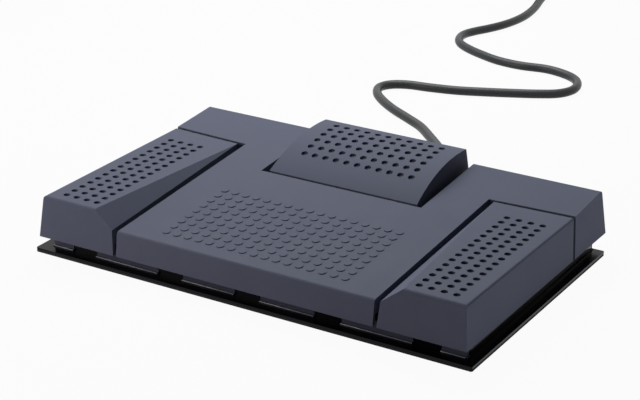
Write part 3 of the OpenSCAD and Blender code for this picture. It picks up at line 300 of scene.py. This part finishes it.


# %% [markdown]
# ## Finishes of the case
# The shells are slate plastic with the matt grain of a spark eroded mould. The tray
# under them is the same plastic, given a darker copy of the finish as painted shade
# for the recess under the shells. The plate is steel with a smooth black paint, and
# the sheet below it is soft rubber. Each could have a node tree of its own, but values
# alone tell them apart well enough.

# %% Dress the case
shell = grained("slate_plastic", dark=(0.104, 0.116, 0.166), light=(0.114, 0.127, 0.180),
                rough=(0.52, 0.62), grain_mm=0.45, depth_mm=0.02, specular=0.06)
# the tray is the shells' slate plastic; this darker copy is painted shade for the recess under
# the shells
tray = grained("slate_plastic_painted_shade", dark=(0.062, 0.069, 0.099), light=(0.068, 0.076, 0.107),
               rough=(0.56, 0.66), grain_mm=0.45, depth_mm=0.02, specular=0.08)
paint = grained("black_gloss_paint", dark=(0.001, 0.001, 0.002), light=(0.002, 0.002, 0.004),
                rough=(0.15, 0.22), grain_mm=0.9, depth_mm=0.004, specular=0.12)
rubber = grained("black_rubber", dark=(0.029, 0.030, 0.035), light=(0.037, 0.038, 0.044),
                 rough=(0.75, 0.88), grain_mm=0.6, depth_mm=0.05, specular=0.1)
pedals = ("centre_pedal", "left_pedal", "right_pedal", "top_pedal")
dress(shell, *pedals)
dress(tray, "lower_tray", "cable_clamp")
dress(paint, "base_plate")
dress(rubber, "rubber_mat", "stop_pads")

# %% [markdown]
# ## Finish of the cord
# The jacket is dark grey plastic with a soft gloss. Long shallow ripples are what
# the press leaves along a real jacket, so its grain is coarser than the shells' and
# its patches are longer.

# %% Dress the cord
jacket = grained("cord_jacket", dark=(0.017, 0.020, 0.022), light=(0.023, 0.027, 0.029),
                 rough=(0.34, 0.44), grain_mm=2.5, depth_mm=0.05, patch_mm=30, specular=0.32)
cord.data.materials.append(jacket)
dress(jacket, "strain_relief", "inner_cable", "plug_grip", "cord_run", "cord_coil", "cord_tail")

# %% [markdown]
# ## New meshes
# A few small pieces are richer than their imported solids. Each is drawn with bmesh
# in millimetres, scaled to metres, smoothed, and kept sharp where its faces meet
# at a steep angle, so one helper makes the object and says which body carries it.

# %% Make a new piece
def mm_box(name):
    """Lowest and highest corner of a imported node, in millimetres."""
    low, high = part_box(name)
    return Vector(low) / MM, Vector(high) / MM


def new_piece(name, draw, finish, sharp=40.0):
    """A mesh object on the base, with the faces that the draw function adds."""
    shape = bmesh.new()
    draw(shape)
    bmesh.ops.scale(shape, vec=(MM, MM, MM), verts=shape.verts)
    bmesh.ops.recalc_face_normals(shape, faces=shape.faces)
    for face in shape.faces:
        face.smooth = True
    mesh = bpy.data.meshes.new(name)
    shape.to_mesh(mesh)
    shape.free()
    mesh.set_sharp_from_angle(angle=math.radians(sharp))
    mesh.materials.append(finish)
    piece = bpy.data.objects.new(name, mesh)
    scene.collection.objects.link(piece)
    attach(piece, "base")
    print(name, "has", len(mesh.polygons), "faces")
    return piece


# %% [markdown]
# ## Bead along the tray's foot
# Between the plate's lugs a thin glossy bead runs along the front of the tray, where
# it meets the plate, and catches the light from the left. A bevelled curve could
# draw it. A strip this thin only needs its edges rounded, so short rounded blocks
# do, one for each stretch between two lugs.

# %% Lay the bead
BEAD_H, BEAD_OUT, BEAD_IN, BEAD_EDGE = 0.9, 0.8, 0.2, 0.35
LUG_ROW, LUG_HALF = (-122.5, -56.5, 0.0, 56.5, 122.5), 9.0
PLATE_T, TRAY_HALF = 1.5, 147.5
bead_gloss = grained("slate_bead", dark=(0.090, 0.100, 0.128), light=(0.106, 0.117, 0.148),
                     rough=(0.22, 0.30), grain_mm=0.6, depth_mm=0.003, patch_mm=6, specular=0.8)
tray_low, tray_high = mm_box("lower_tray")
plate_top = mm_box("base_plate")[0].z + PLATE_T


def soft_block(shape, low, high, edge):
    """A block between two corners with rounded edges."""
    made = bmesh.ops.create_cube(shape, size=1.0)["verts"]
    low, high = Vector(low), Vector(high)
    bmesh.ops.scale(shape, vec=high - low, verts=made)
    bmesh.ops.translate(shape, vec=(low + high) / 2, verts=made)
    edges = list({e for v in made for e in v.link_edges})
    bmesh.ops.bevel(shape, geom=edges, offset=edge, segments=2, profile=0.5, affect="EDGES")


def draw_bead(shape):
    lug_ends = [x + side * LUG_HALF for x in LUG_ROW for side in (-1, 1)]
    ends = [-TRAY_HALF, *lug_ends, TRAY_HALF]
    for x0, x1 in zip(ends[::2], ends[1::2]):
        soft_block(shape, (x0, tray_low.y - BEAD_OUT, plate_top),
                   (x1, tray_low.y + BEAD_IN, plate_top + BEAD_H), BEAD_EDGE)


new_piece("tray_bead", draw_bead, bead_gloss)

# %% [markdown]
# ## Painted shade beside the tray
# Beside the tray the gap under the side pedals lies in deep shade. A thin rounded
# strip in the plate's black paint stands on each side as painted shade, so the lit
# side of the tray does not show there.

# %% Lay black strips as painted shade beside the tray
SHADE_STRIP_T, SHADE_STRIP_H, SHADE_STRIP_END, SHADE_STRIP_EDGE = 1.0, 5.0, 4.0, 0.3


# the strips are painted shade: black where the gap beside the tray is in shade
def draw_shade_strips(shape):
    y0, y1 = tray_low.y + SHADE_STRIP_END, tray_high.y - SHADE_STRIP_END
    for x0, x1 in ((-TRAY_HALF - SHADE_STRIP_T, -TRAY_HALF), (TRAY_HALF, TRAY_HALF + SHADE_STRIP_T)):
        soft_block(shape, (x0, y0, plate_top), (x1, y1, plate_top + SHADE_STRIP_H), SHADE_STRIP_EDGE)


new_piece("painted_shade_strips", draw_shade_strips, paint)

# %% [markdown]
# ## Profile of the strain relief
# Where the cord leaves the tray, a soft sleeve keeps it from kinking. The real one
# is moulded with two flanges that grip the wall and with grooves that let the
# taper bend. It is round all along, so a list of places with a radius at each says
# all of its shape.

# %% Set out the sleeve's profile
FLANGE_R, FLANGE_T, NECK_R, WALL_T, FIT = 6.0, 2.0, 4.5, 2.2, 0.1
RIB_PITCH, RIB_W, GROOVE_DEPTH = 3.4, 1.7, 0.6
ROOT_R, TIP_R, TIP_L, CHAMFER = 5.4, 4.2, 2.0, 0.4


def sleeve_profile(low_y, wall_y, high_y):
    """Places along the sleeve with the radius at each."""
    inner_y, outer_y = wall_y - WALL_T - FIT, wall_y + FIT
    rim_y = outer_y + FLANGE_T
    profile = [(low_y, FLANGE_R - CHAMFER), (low_y + CHAMFER, FLANGE_R),
               (inner_y, FLANGE_R), (inner_y, NECK_R), (outer_y, NECK_R), (outer_y, FLANGE_R),
               (rim_y - CHAMFER, FLANGE_R), (rim_y, FLANGE_R - CHAMFER)]
    y = rim_y + FIT
    while y + RIB_PITCH < high_y - TIP_L:
        radius = ROOT_R + (TIP_R - ROOT_R) * (y - outer_y) / (high_y - outer_y)
        groove_r = radius - GROOVE_DEPTH
        profile += [(y, radius), (y + RIB_W, radius),
                    (y + RIB_W + CHAMFER, groove_r), (y + RIB_PITCH - CHAMFER, groove_r)]
        y += RIB_PITCH
    return profile + [(y, TIP_R), (high_y - CHAMFER, TIP_R), (high_y, TIP_R - CHAMFER)]


sleeve_low, sleeve_high = mm_box("strain_relief")
profile = sleeve_profile(sleeve_low.y, tray_high.y, sleeve_high.y)
print("sleeve profile of", len(profile), "places")

# %% [markdown]
# ## Strain relief
# A profile can be turned with a screw modifier. Rings of points with faces between
# them do the same in a few lines, close both ends, and serve for springs and legs
# later on.

# %% Turn the strain relief
def skin_wall(shape, one, two):
    """Faces between two rings of corners."""
    count = len(one)
    for k in range(count):
        shape.faces.new((one[k], one[(k + 1) % count], two[(k + 1) % count], two[k]))


def skin_rings(shape, rings):
    """Closes the wall between neighbouring rings of points, and both ends."""
    rings = [[shape.verts.new(place) for place in ring] for ring in rings]
    for one, two in zip(rings, rings[1:]):
        skin_wall(shape, one, two)
    shape.faces.new(rings[0])
    shape.faces.new(rings[-1])


def circle(x, y, z, radius, count=32):
    """Points of a circle square to the Y axis."""
    turns = [2 * math.pi * k / count for k in range(count)]
    return [(x + radius * math.cos(a), y, z + radius * math.sin(a)) for a in turns]


def draw_sleeve(shape):
    middle = (sleeve_low + sleeve_high) / 2
    skin_rings(shape, [circle(middle.x, y, middle.z, radius) for y, radius in profile])


sleeve = new_piece("ribbed_strain_relief", draw_sleeve, jacket)
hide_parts("strain_relief")

# %% [markdown]
# ## Strap round the coil
# A woven strap holds the spare turns. Cloth this stiff keeps the shape of what it
# goes round, so it is drawn as a band with round corners and one end laid over the
# other, which no simulation would improve.

# %% Close the strap
STRAP_T, STRAP_CORNER, STRAP_END, STRAP_EDGE, CORNER_STEPS = 0.8, 3.0, 12.0, 0.25, 6
strap_cloth = grained("strap_nylon", dark=(0.010, 0.010, 0.011), light=(0.020, 0.020, 0.021),
                      rough=(0.65, 0.80), grain_mm=0.5, depth_mm=0.08, patch_mm=3)
strap_low, strap_high = mm_box("coil_tie")


def strap_corners(inset):
    """A rectangle with round corners in the Y and Z plane, set in from the band's outside."""
    y0, z0 = strap_low.y + inset, strap_low.z + inset
    y1, z1 = strap_high.y - inset, strap_high.z - inset
    r = STRAP_CORNER - inset
    centres = [(y1 - r, z1 - r, 0), (y0 + r, z1 - r, 1), (y0 + r, z0 + r, 2), (y1 - r, z0 + r, 3)]
    turns = [(y, z, (quarter + k / CORNER_STEPS) * math.pi / 2)
             for y, z, quarter in centres for k in range(CORNER_STEPS + 1)]
    return [(y + r * math.cos(a), z + r * math.sin(a)) for y, z, a in turns]


def draw_strap(shape):
    x0, x1 = strap_low.x, strap_high.x
    rows = [[shape.verts.new((x, y, z)) for y, z in strap_corners(inset)]
            for x, inset in ((x0, 0), (x1, 0), (x1, STRAP_T), (x0, STRAP_T))]
    for one, two in zip(rows, rows[1:] + rows[:1]):
        skin_wall(shape, one, two)
    end_y = strap_low.y + 2 * STRAP_CORNER
    soft_block(shape, (x0, end_y, strap_high.z),
               (x1, end_y + STRAP_END, strap_high.z + STRAP_T), STRAP_EDGE)


strap = new_piece("coil_strap", draw_strap, strap_cloth)
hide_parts("coil_tie")
dress(strap_cloth, "coil_tie")

# %% [markdown]
# ## Finishes of the plug
# The plug is a moulded grip round a folded nickel shell, with a plastic tongue
# inside. Metal here is the same finish with the shader's metallic value at one, so
# its colour comes from what it mirrors.

# %% Dress the plug
nickel = grained("nickel_plate", dark=(0.60, 0.59, 0.56), light=(0.68, 0.67, 0.64),
                 rough=(0.18, 0.28), grain_mm=0.3, depth_mm=0.005, patch_mm=6, metal=1.0)
gilt = grained("gilt_strip", dark=(0.72, 0.50, 0.20), light=(0.80, 0.58, 0.26),
               rough=(0.20, 0.30), grain_mm=0.3, depth_mm=0.004, patch_mm=4, metal=1.0)
ivory = grained("ivory_nylon", dark=(0.62, 0.58, 0.48), light=(0.70, 0.66, 0.56),
                rough=(0.35, 0.50), grain_mm=0.5, depth_mm=0.01, patch_mm=4)
dress(nickel, "plug_shell")
dress(ivory, "plug_tongue")

# %% [markdown]
# ## Small parts of the plug
# The tongue carries four gilt strips, and ridges help the fingers to hold the grip.
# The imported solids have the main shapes, so these are laid on them as rounded
# blocks, the strips flat on the tongue and the ridges a little into the grip.

# %% Lay the strips and ridges
STRIP_COUNT, STRIP_PITCH, STRIP_INSET, STRIP_EDGE = 4, 2.3, 1.0, 0.05
STRIP_W, STRIP_T, STRIP_L = 1.2, 0.15, 7.4
RIDGE_COUNT, RIDGE_PITCH, RIDGE_START, RIDGE_INSET = 5, 2.6, 9.0, 3.0
RIDGE_W, RIDGE_H, RIDGE_SINK, RIDGE_EDGE = 1.1, 0.5, 0.2, 0.2


def draw_strips(shape):
    low, high = mm_box("plug_tongue")
    y = low.y + STRIP_INSET
    for k in range(STRIP_COUNT):
        x = (low.x + high.x) / 2 + STRIP_PITCH * (k - (STRIP_COUNT - 1) / 2)
        soft_block(shape, (x - STRIP_W / 2, y, high.z),
                   (x + STRIP_W / 2, y + STRIP_L, high.z + STRIP_T), STRIP_EDGE)


def draw_ridges(shape):
    low, high = mm_box("plug_grip")
    for k in range(RIDGE_COUNT):
        y = low.y + RIDGE_START + RIDGE_PITCH * k
        soft_block(shape, (low.x + RIDGE_INSET, y, high.z - RIDGE_SINK),
                   (high.x - RIDGE_INSET, y + RIDGE_W, high.z + RIDGE_H), RIDGE_EDGE)


strips = new_piece("plug_strips", draw_strips, gilt)
ridges = new_piece("plug_ridges", draw_ridges, jacket)

# %% [markdown]
# ## Facts of the cord
# A cord is one fixed length of something flexible.

# %% [markdown]
# ## Works inside
# Under the shells sit steel pins and screws, black micro switches, a green board
# and its white sockets. They are dressed too, because a part is taken apart or
# seen through its slots sooner or later.

# %% Dress the works inside
steel = grained("zinc_plate", dark=(0.46, 0.46, 0.45), light=(0.58, 0.58, 0.56),
                rough=(0.28, 0.42), grain_mm=0.5, depth_mm=0.01, patch_mm=4, metal=1.0)
spring_wire = grained("spring_wire", dark=(0.34, 0.34, 0.35), light=(0.44, 0.44, 0.45),
                      rough=(0.24, 0.36), grain_mm=0.3, depth_mm=0.01, patch_mm=3, metal=1.0)
switch_black = grained("switch_black", dark=(0.012, 0.012, 0.013), light=(0.020, 0.020, 0.021),
                       rough=(0.40, 0.55), grain_mm=0.4, depth_mm=0.02, patch_mm=5)
red_moulding = grained("red_moulding", dark=(0.36, 0.020, 0.018), light=(0.46, 0.030, 0.026),
                       rough=(0.30, 0.42), grain_mm=0.4, depth_mm=0.01, patch_mm=2)
laminate = grained("green_laminate", dark=(0.010, 0.085, 0.035), light=(0.016, 0.120, 0.050),
                   rough=(0.28, 0.40), grain_mm=0.6, depth_mm=0.02, patch_mm=3)
dress(steel, "case_screws", "board_screws", "clamp_screws", "crystal_can", "centre_hinge_pins",
      "left_hinge_pin", "right_hinge_pin", "top_hinge_pin")
dress(spring_wire, "centre_springs", "left_spring", "right_spring", "top_spring")
dress(switch_black, "left_switch", "right_switch", "centre_switch", "top_switch",
      "controller_chip", "left_lead", "right_lead", "centre_lead", "top_lead")
dress(red_moulding, "left_plunger", "right_plunger", "centre_plunger", "top_plunger")
dress(ivory, "lead_connectors", "cord_connector")
dress(laminate, "control_board")

# %% [markdown]
# ## Wire of the springs
# Each pedal is pushed up by a coil of round wire. A bevelled curve would draw it,
# but a spring has to shorten as its pedal goes down, and only a mesh can be
# squashed, so the wire is swept as rings of points along the coil.

# %% Sweep a coil of wire
SPRING_TURNS, SPRING_D, WIRE_D, RINGS_PER_TURN = 5, 10.0, 1.2, 32
UP = Vector((0, 0, 1))


def coil_of_wire(x, y, low_z, high_z):
    """The middle line of a spring that stands at x and y."""
    radius = (SPRING_D - WIRE_D) / 2
    steps = SPRING_TURNS * RINGS_PER_TURN
    rise = high_z - low_z - WIRE_D
    return [Vector((x + radius * math.cos(2 * math.pi * i / RINGS_PER_TURN),
                    y + radius * math.sin(2 * math.pi * i / RINGS_PER_TURN),
                    low_z + WIRE_D / 2 + rise * i / steps)) for i in range(steps + 1)]


def sweep_rings(line, radius, count=10):
    """Rings of points round a line, each square to it."""
    last = len(line) - 1
    turns = [2 * math.pi * k / count for k in range(count)]
    rings = []
    for i, place in enumerate(line):
        ahead = (line[min(i + 1, last)] - line[max(i - 1, 0)]).normalized()
        side = ahead.cross(UP).normalized()
        up = side.cross(ahead)
        rings.append([place + radius * (math.cos(a) * side + math.sin(a) * up) for a in turns])
    return rings


print("spring wire of", WIRE_D, "mm in", SPRING_TURNS, "turns")

# %% [markdown]
# ## Return springs
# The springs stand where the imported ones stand, and two of them share one node
# under the wide panel.

# %% Wind the springs
PEDAL_HEIGHT_LEFT, TOP_HEIGHT_LEFT, WIRE_SHARP = 0.78, 0.84, 60.0


def wind(spring):
    """Replaces a packed spring by round wire."""
    low, high = mm_box(spring)
    half = (high.y - low.y) / 2
    stands = sorted({round(low.x + half, 2), round(high.x - half, 2)})

    def draw_wire(shape):
        for x in stands:
            line = coil_of_wire(x, low.y + half, low.z, high.z)
            skin_rings(shape, sweep_rings(line, WIRE_D / 2))

    piece = new_piece(spring + "_wire", draw_wire, spring_wire, WIRE_SHARP)
    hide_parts(spring)
    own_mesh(piece)


wind("left_spring")
wind("right_spring")
wind("centre_springs")
wind("top_spring")

# %% [markdown]
# ## Routes of the switch leads
# A pair of thin insulated wires goes from each switch to a socket on the board.
# Each route starts straight out of its switch, lies on the tray's floor and rises
# to its socket. The places come from the boxes of the switches and the board, so
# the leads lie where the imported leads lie.

# %% Set out the leads
LEAD_OUT, LEAD_D, LEAD_LIFT = 4.0, 2.2, 1.6
SIDE_SOCKET_Y, SOCKET_STEP = 3.0, 7.0
board_low, board_high = mm_box("control_board")
board_mid = (board_low + board_high) / 2
floor_top = mm_box("left_switch")[0].z
plug_in_z = board_high.z + LEAD_D


def switch_front(name):
    """Middle of a switch's front face, at the height where the wires come out."""
    low, high = mm_box(name)
    return Vector(((low.x + high.x) / 2, low.y, floor_top + LEAD_LIFT))


def side_lead(sign, start):
    """From a side switch to the board's end on that side."""
    out = start - Vector((0, LEAD_OUT, 0))
    turn = out - Vector((sign * 3 * LEAD_OUT, 2 * LEAD_OUT, 0))
    end_x = board_low.x if sign < 0 else board_high.x
    end = Vector((end_x, board_mid.y + SIDE_SOCKET_Y, plug_in_z))
    rise = Vector((end.x + sign * 4 * LEAD_OUT, end.y + LEAD_OUT, start.z))
    near = end + Vector((sign * LEAD_OUT, 0, 0))
    return [start, out, turn, (turn + rise) / 2, rise, near, end]


def rear_lead(start, socket_x):
    """From a switch behind the board to a socket on its rear edge."""
    out = start - Vector((0, LEAD_OUT, 0))
    end = Vector((socket_x, board_high.y, plug_in_z))
    near = end + Vector((0, LEAD_OUT, 0))
    rise = (out + 2 * near) / 3
    return [start, out, Vector((rise.x, rise.y, start.z)), near, end]


print("leads go from", round(floor_top, 1), "to", round(plug_in_z, 1), "mm")

# %% [markdown]
# ## Switch leads
# The two wires of a lead lie side by side. A bevelled curve is enough again,
# because nothing pulls on them, and one curve can hold both as two splines, each
# half a lead to one side of the middle line.

# %% Lay the leads
LEAD_STEPS = 6


def lay_lead(name, places):
    """Two wires side by side, as one curve of two splines."""
    line = smooth_line(places, LEAD_STEPS)
    across = [(b - a).cross(UP).normalized() for a, b in zip(line, line[1:])]
    across.append(across[-1])
    wires = [[place + sign * LEAD_D / 4 * side for place, side in zip(line, across)]
             for sign in (-1, 1)]
    lead = wire_along(name + "_wires", wires, LEAD_D / 2)
    lead.data.materials.append(switch_black)
    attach(lead, "base")
    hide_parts(name)
    print(lead.name, "has", len(line), "points in each wire")


lay_lead("left_lead", side_lead(-1, switch_front("left_switch")))
lay_lead("right_lead", side_lead(1, switch_front("right_switch")))
lay_lead("centre_lead", rear_lead(switch_front("centre_switch"), (board_low.x + board_mid.x) / 2))
lay_lead("top_lead", rear_lead(switch_front("top_switch"), board_mid.x - SOCKET_STEP))

# %% [markdown]
# ## Legs of the chip
# The controller has a row of bent legs on each side. One leg is drawn as a thin
# strip with two bends and repeated by a loop, which keeps all of them alike.

# %% Bend the legs
LEG_COUNT, LEG_PITCH, LEG_W, LEG_T, LEG_SHARP = 8, 1.1, 0.45, 0.2, 20.0
leg_bends = [(-0.2, 0.9), (0.3, 0.9), (0.7, 0.3), (1.3, 0.3)]
leg_section = [(-1, 0), (1, 0), (1, -1), (-1, -1)]


def draw_legs(shape):
    low, high = mm_box("controller_chip")
    middle = (low + high) / 2
    half = (high.x - low.x) / 2
    for ahead in (Vector((1, 0, 0)), Vector((0, 1, 0)), Vector((-1, 0, 0)), Vector((0, -1, 0))):
        side = Vector((-ahead.y, ahead.x, 0))
        for k in range(LEG_COUNT):
            along = side * LEG_PITCH * (k - (LEG_COUNT - 1) / 2)
            rings = []
            for out, up in leg_bends:
                spot = Vector((middle.x, middle.y, low.z + up)) + along + ahead * (half + out)
                rings.append([spot + side * s * LEG_W / 2 + Vector((0, 0, t * LEG_T))
                              for s, t in leg_section])
            skin_rings(shape, rings)


new_piece("chip_legs", draw_legs, steel, LEG_SHARP)

# %% [markdown]
# ## Screws under the base
# Six countersunk screws hold the plate. Their heads are plain discs in the packed
# model. The driver's recess could be cut with a boolean, but at this size it shows
# only as a cross in shade, so a thin near-black cross is laid on each head as
# painted shade for the recess.

# %% Mark the driver crosses
CROSS_ARM, CROSS_HALF, CROSS_T = 1.9, 0.45, 0.04
HEAD_R, MIDDLE_ROW = 3.0, 63.0
# near black: painted shade in place of the shade inside the driver's recess
recess = grained("recess_painted_shade", dark=(0.010, 0.010, 0.010), light=(0.018, 0.018, 0.018),
                 rough=(0.5, 0.7), grain_mm=0.3, depth_mm=0.01, patch_mm=1)


def cross_outline():
    """Corners of a cross with four like arms."""
    arm = [(CROSS_ARM, -CROSS_HALF), (CROSS_ARM, CROSS_HALF), (CROSS_HALF, CROSS_HALF)]
    turns = [quarter * math.pi / 2 for quarter in range(4)]
    return [(x * math.cos(a) - y * math.sin(a), x * math.sin(a) + y * math.cos(a))
            for a in turns for x, y in arm]


def draw_crosses(shape):
    low, high = mm_box("case_screws")
    for x in (low.x + HEAD_R, high.x - HEAD_R):
        for y in (low.y + HEAD_R, low.y + HEAD_R + MIDDLE_ROW, high.y - HEAD_R):
            skin_rings(shape, [[(x + dx, y + dy, z) for dx, dy in cross_outline()]
                               for z in (low.z - CROSS_T, low.z + CROSS_T)])


new_piece("driver_crosses", draw_crosses, recess)

# %% [markdown]
# ## Rounded edges
# No moulded edge is sharp. Rounding it in the model would cost many faces there,
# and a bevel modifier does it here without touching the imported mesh: the weld
# joins the split corners first, then the bevel rounds what is steeper than the
# limit, and weighted normals keep the flat faces flat.

# %% Round the edges
EDGE_W, EDGE_LIMIT, EDGE_STEPS, WELD_GAP = 0.5, 35.0, 3, 0.01


def round_edges(piece):
    piece.modifiers.new("weld", "WELD").merge_threshold = WELD_GAP * MM
    bevel = piece.modifiers.new("bevel", "BEVEL")
    bevel.width = EDGE_W * MM
    bevel.segments = EDGE_STEPS
    bevel.limit_method = "ANGLE"
    bevel.angle_limit = math.radians(EDGE_LIMIT)
    bevel.miter_outer = "MITER_ARC"
    piece.modifiers.new("normals", "WEIGHTED_NORMAL").keep_sharp = True
    print(piece.name, "has edges", EDGE_W, "mm wide")


for name in (*pedals, "lower_tray"):
    round_edges(node[name])

# %% [markdown]
# ## White floor
# The object stands on a white table in white air. A bright lamp could make a floor
# white, but would wash out the object. Here the rays that show the floor, from the
# camera or in a mirror, see almost plain white, which is a strength of 1, and a
# small share of a matt floor, which keeps the shadow. All other rays meet the matt
# floor alone.

# %% Lay the floor
FLOOR_HALF, FLOOR_DROP = 6.0, 0.2
FLOOR_GREY, FLOOR_WHITE_SHARE = 0.56, 0.95


def seen_ray(tree):
    """1 for a ray that shows the backdrop itself, directly or in a mirror."""
    path = tree.nodes.new("ShaderNodeLightPath")
    total = path.outputs["Is Camera Ray"]
    for other in ("Is Glossy Ray", "Is Transmission Ray"):
        either = tree.nodes.new("ShaderNodeMath")
        either.operation = "MAXIMUM"
        tree.links.new(total, either.inputs[0])
        tree.links.new(path.outputs[other], either.inputs[1])
        total = either.outputs["Value"]
    return total


def white_finish():
    """White for a ray that shows the floor, matt grey for the rest."""
    finish = bpy.data.materials.new("white_floor")
    finish.use_nodes = True
    tree = finish.node_tree
    tree.nodes.clear()
    matt = tree.nodes.new("ShaderNodeBsdfDiffuse")
    matt.inputs["Color"].default_value = (FLOOR_GREY, FLOOR_GREY, FLOOR_GREY, 1)
    glow = tree.nodes.new("ShaderNodeEmission")
    share = tree.nodes.new("ShaderNodeMath")
    share.operation = "MULTIPLY"
    share.inputs[1].default_value = FLOOR_WHITE_SHARE
    tree.links.new(seen_ray(tree), share.inputs[0])
    mix = tree.nodes.new("ShaderNodeMixShader")
    tree.links.new(share.outputs["Value"], mix.inputs["Fac"])
    tree.links.new(matt.outputs["BSDF"], mix.inputs[1])
    tree.links.new(glow.outputs["Emission"], mix.inputs[2])
    result = tree.nodes.new("ShaderNodeOutputMaterial")
    tree.links.new(mix.outputs["Shader"], result.inputs["Surface"])
    return finish


half = FLOOR_HALF
corners = [(-half, -half, 0), (half, -half, 0), (half, half, 0), (-half, half, 0)]
floor_mesh = bpy.data.meshes.new("floor")
floor_mesh.from_pydata(corners, [], [(0, 1, 2, 3)])
floor_mesh.materials.append(white_finish())
floor = bpy.data.objects.new("floor", floor_mesh)
floor.location.z = -FLOOR_DROP * MM
scene.collection.objects.link(floor)
print("floor is", 2 * FLOOR_HALF, "m wide")

# %% [markdown]
# ## Sky
# The air behind the object is white too. A world as strong as it looks would light
# every side alike and take the shape out of the pedals, so the same test of the ray
# is used: white where the sky is seen, and only a weak glow on the object.

# %% Hang the sky
SKY = 0.015
sky = bpy.data.worlds.new("sky")
scene.world = sky
sky.use_nodes = True
tree = sky.node_tree
level = tree.nodes.new("ShaderNodeMapRange")
level.inputs["To Min"].default_value = SKY
level.inputs["To Max"].default_value = 1.0
tree.links.new(seen_ray(tree), level.inputs["Value"])
backdrop = tree.nodes["Background"]
backdrop.inputs["Color"].default_value = (1, 1, 1, 1)
tree.links.new(level.outputs["Result"], backdrop.inputs["Strength"])
print("sky lights the object with", SKY)

# %% [markdown]
# ## Lamps
# A wide soft lamp above the left rear corner lights the tops. A low one at the left
# front, a little warm, lights the fronts, which get darker towards the right. A
# white table also throws light back on the right walls. The floor here gives too
# little for that, so a third lamp lies on it, faces up and hides from the camera.
# Point lamps would be simpler, but their shadows have hard edges.

# %% Set the lamps
LAMP_AIM = (0, 0, 0.02)
MAIN_PLACE, MAIN_SIZE, MAIN_POWER = (-0.28, 0.37, 0.66), 0.6, 5.95
FRONT_PLACE, FRONT_SIZE, FRONT_POWER = (-0.42, -0.50, 0.22), 0.35, 1.75
FRONT_COLOUR = (1.0, 0.91, 0.89)
TABLE_PLACE, TABLE_W, TABLE_L, TABLE_POWER = (0.34, 0.14, 0.0005), 0.35, 0.6, 0.435


def soft_lamp(name, size, power):
    """A square lamp, which throws shadows with soft edges."""
    lamp = bpy.data.objects.new(name, bpy.data.lights.new(name, "AREA"))
    scene.collection.objects.link(lamp)
    lamp.data.size = size
    lamp.data.energy = power
    print(name, "of", power, "W")
    return lamp


main_lamp = soft_lamp("main_lamp", MAIN_SIZE, MAIN_POWER)
aim_at(main_lamp, MAIN_PLACE, LAMP_AIM)
front_lamp = soft_lamp("front_lamp", FRONT_SIZE, FRONT_POWER)
front_lamp.data.color = FRONT_COLOUR
aim_at(front_lamp, FRONT_PLACE, LAMP_AIM)
table_lamp = soft_lamp("table_lamp", TABLE_W, TABLE_POWER)
table_lamp.data.shape = "RECTANGLE"
table_lamp.data.size_y = TABLE_L
table_lamp.location = TABLE_PLACE
table_lamp.rotation_euler.x = math.pi
table_lamp.visible_camera = False
table_lamp.visible_glossy = False
scene.view_settings.view_transform = "Standard"
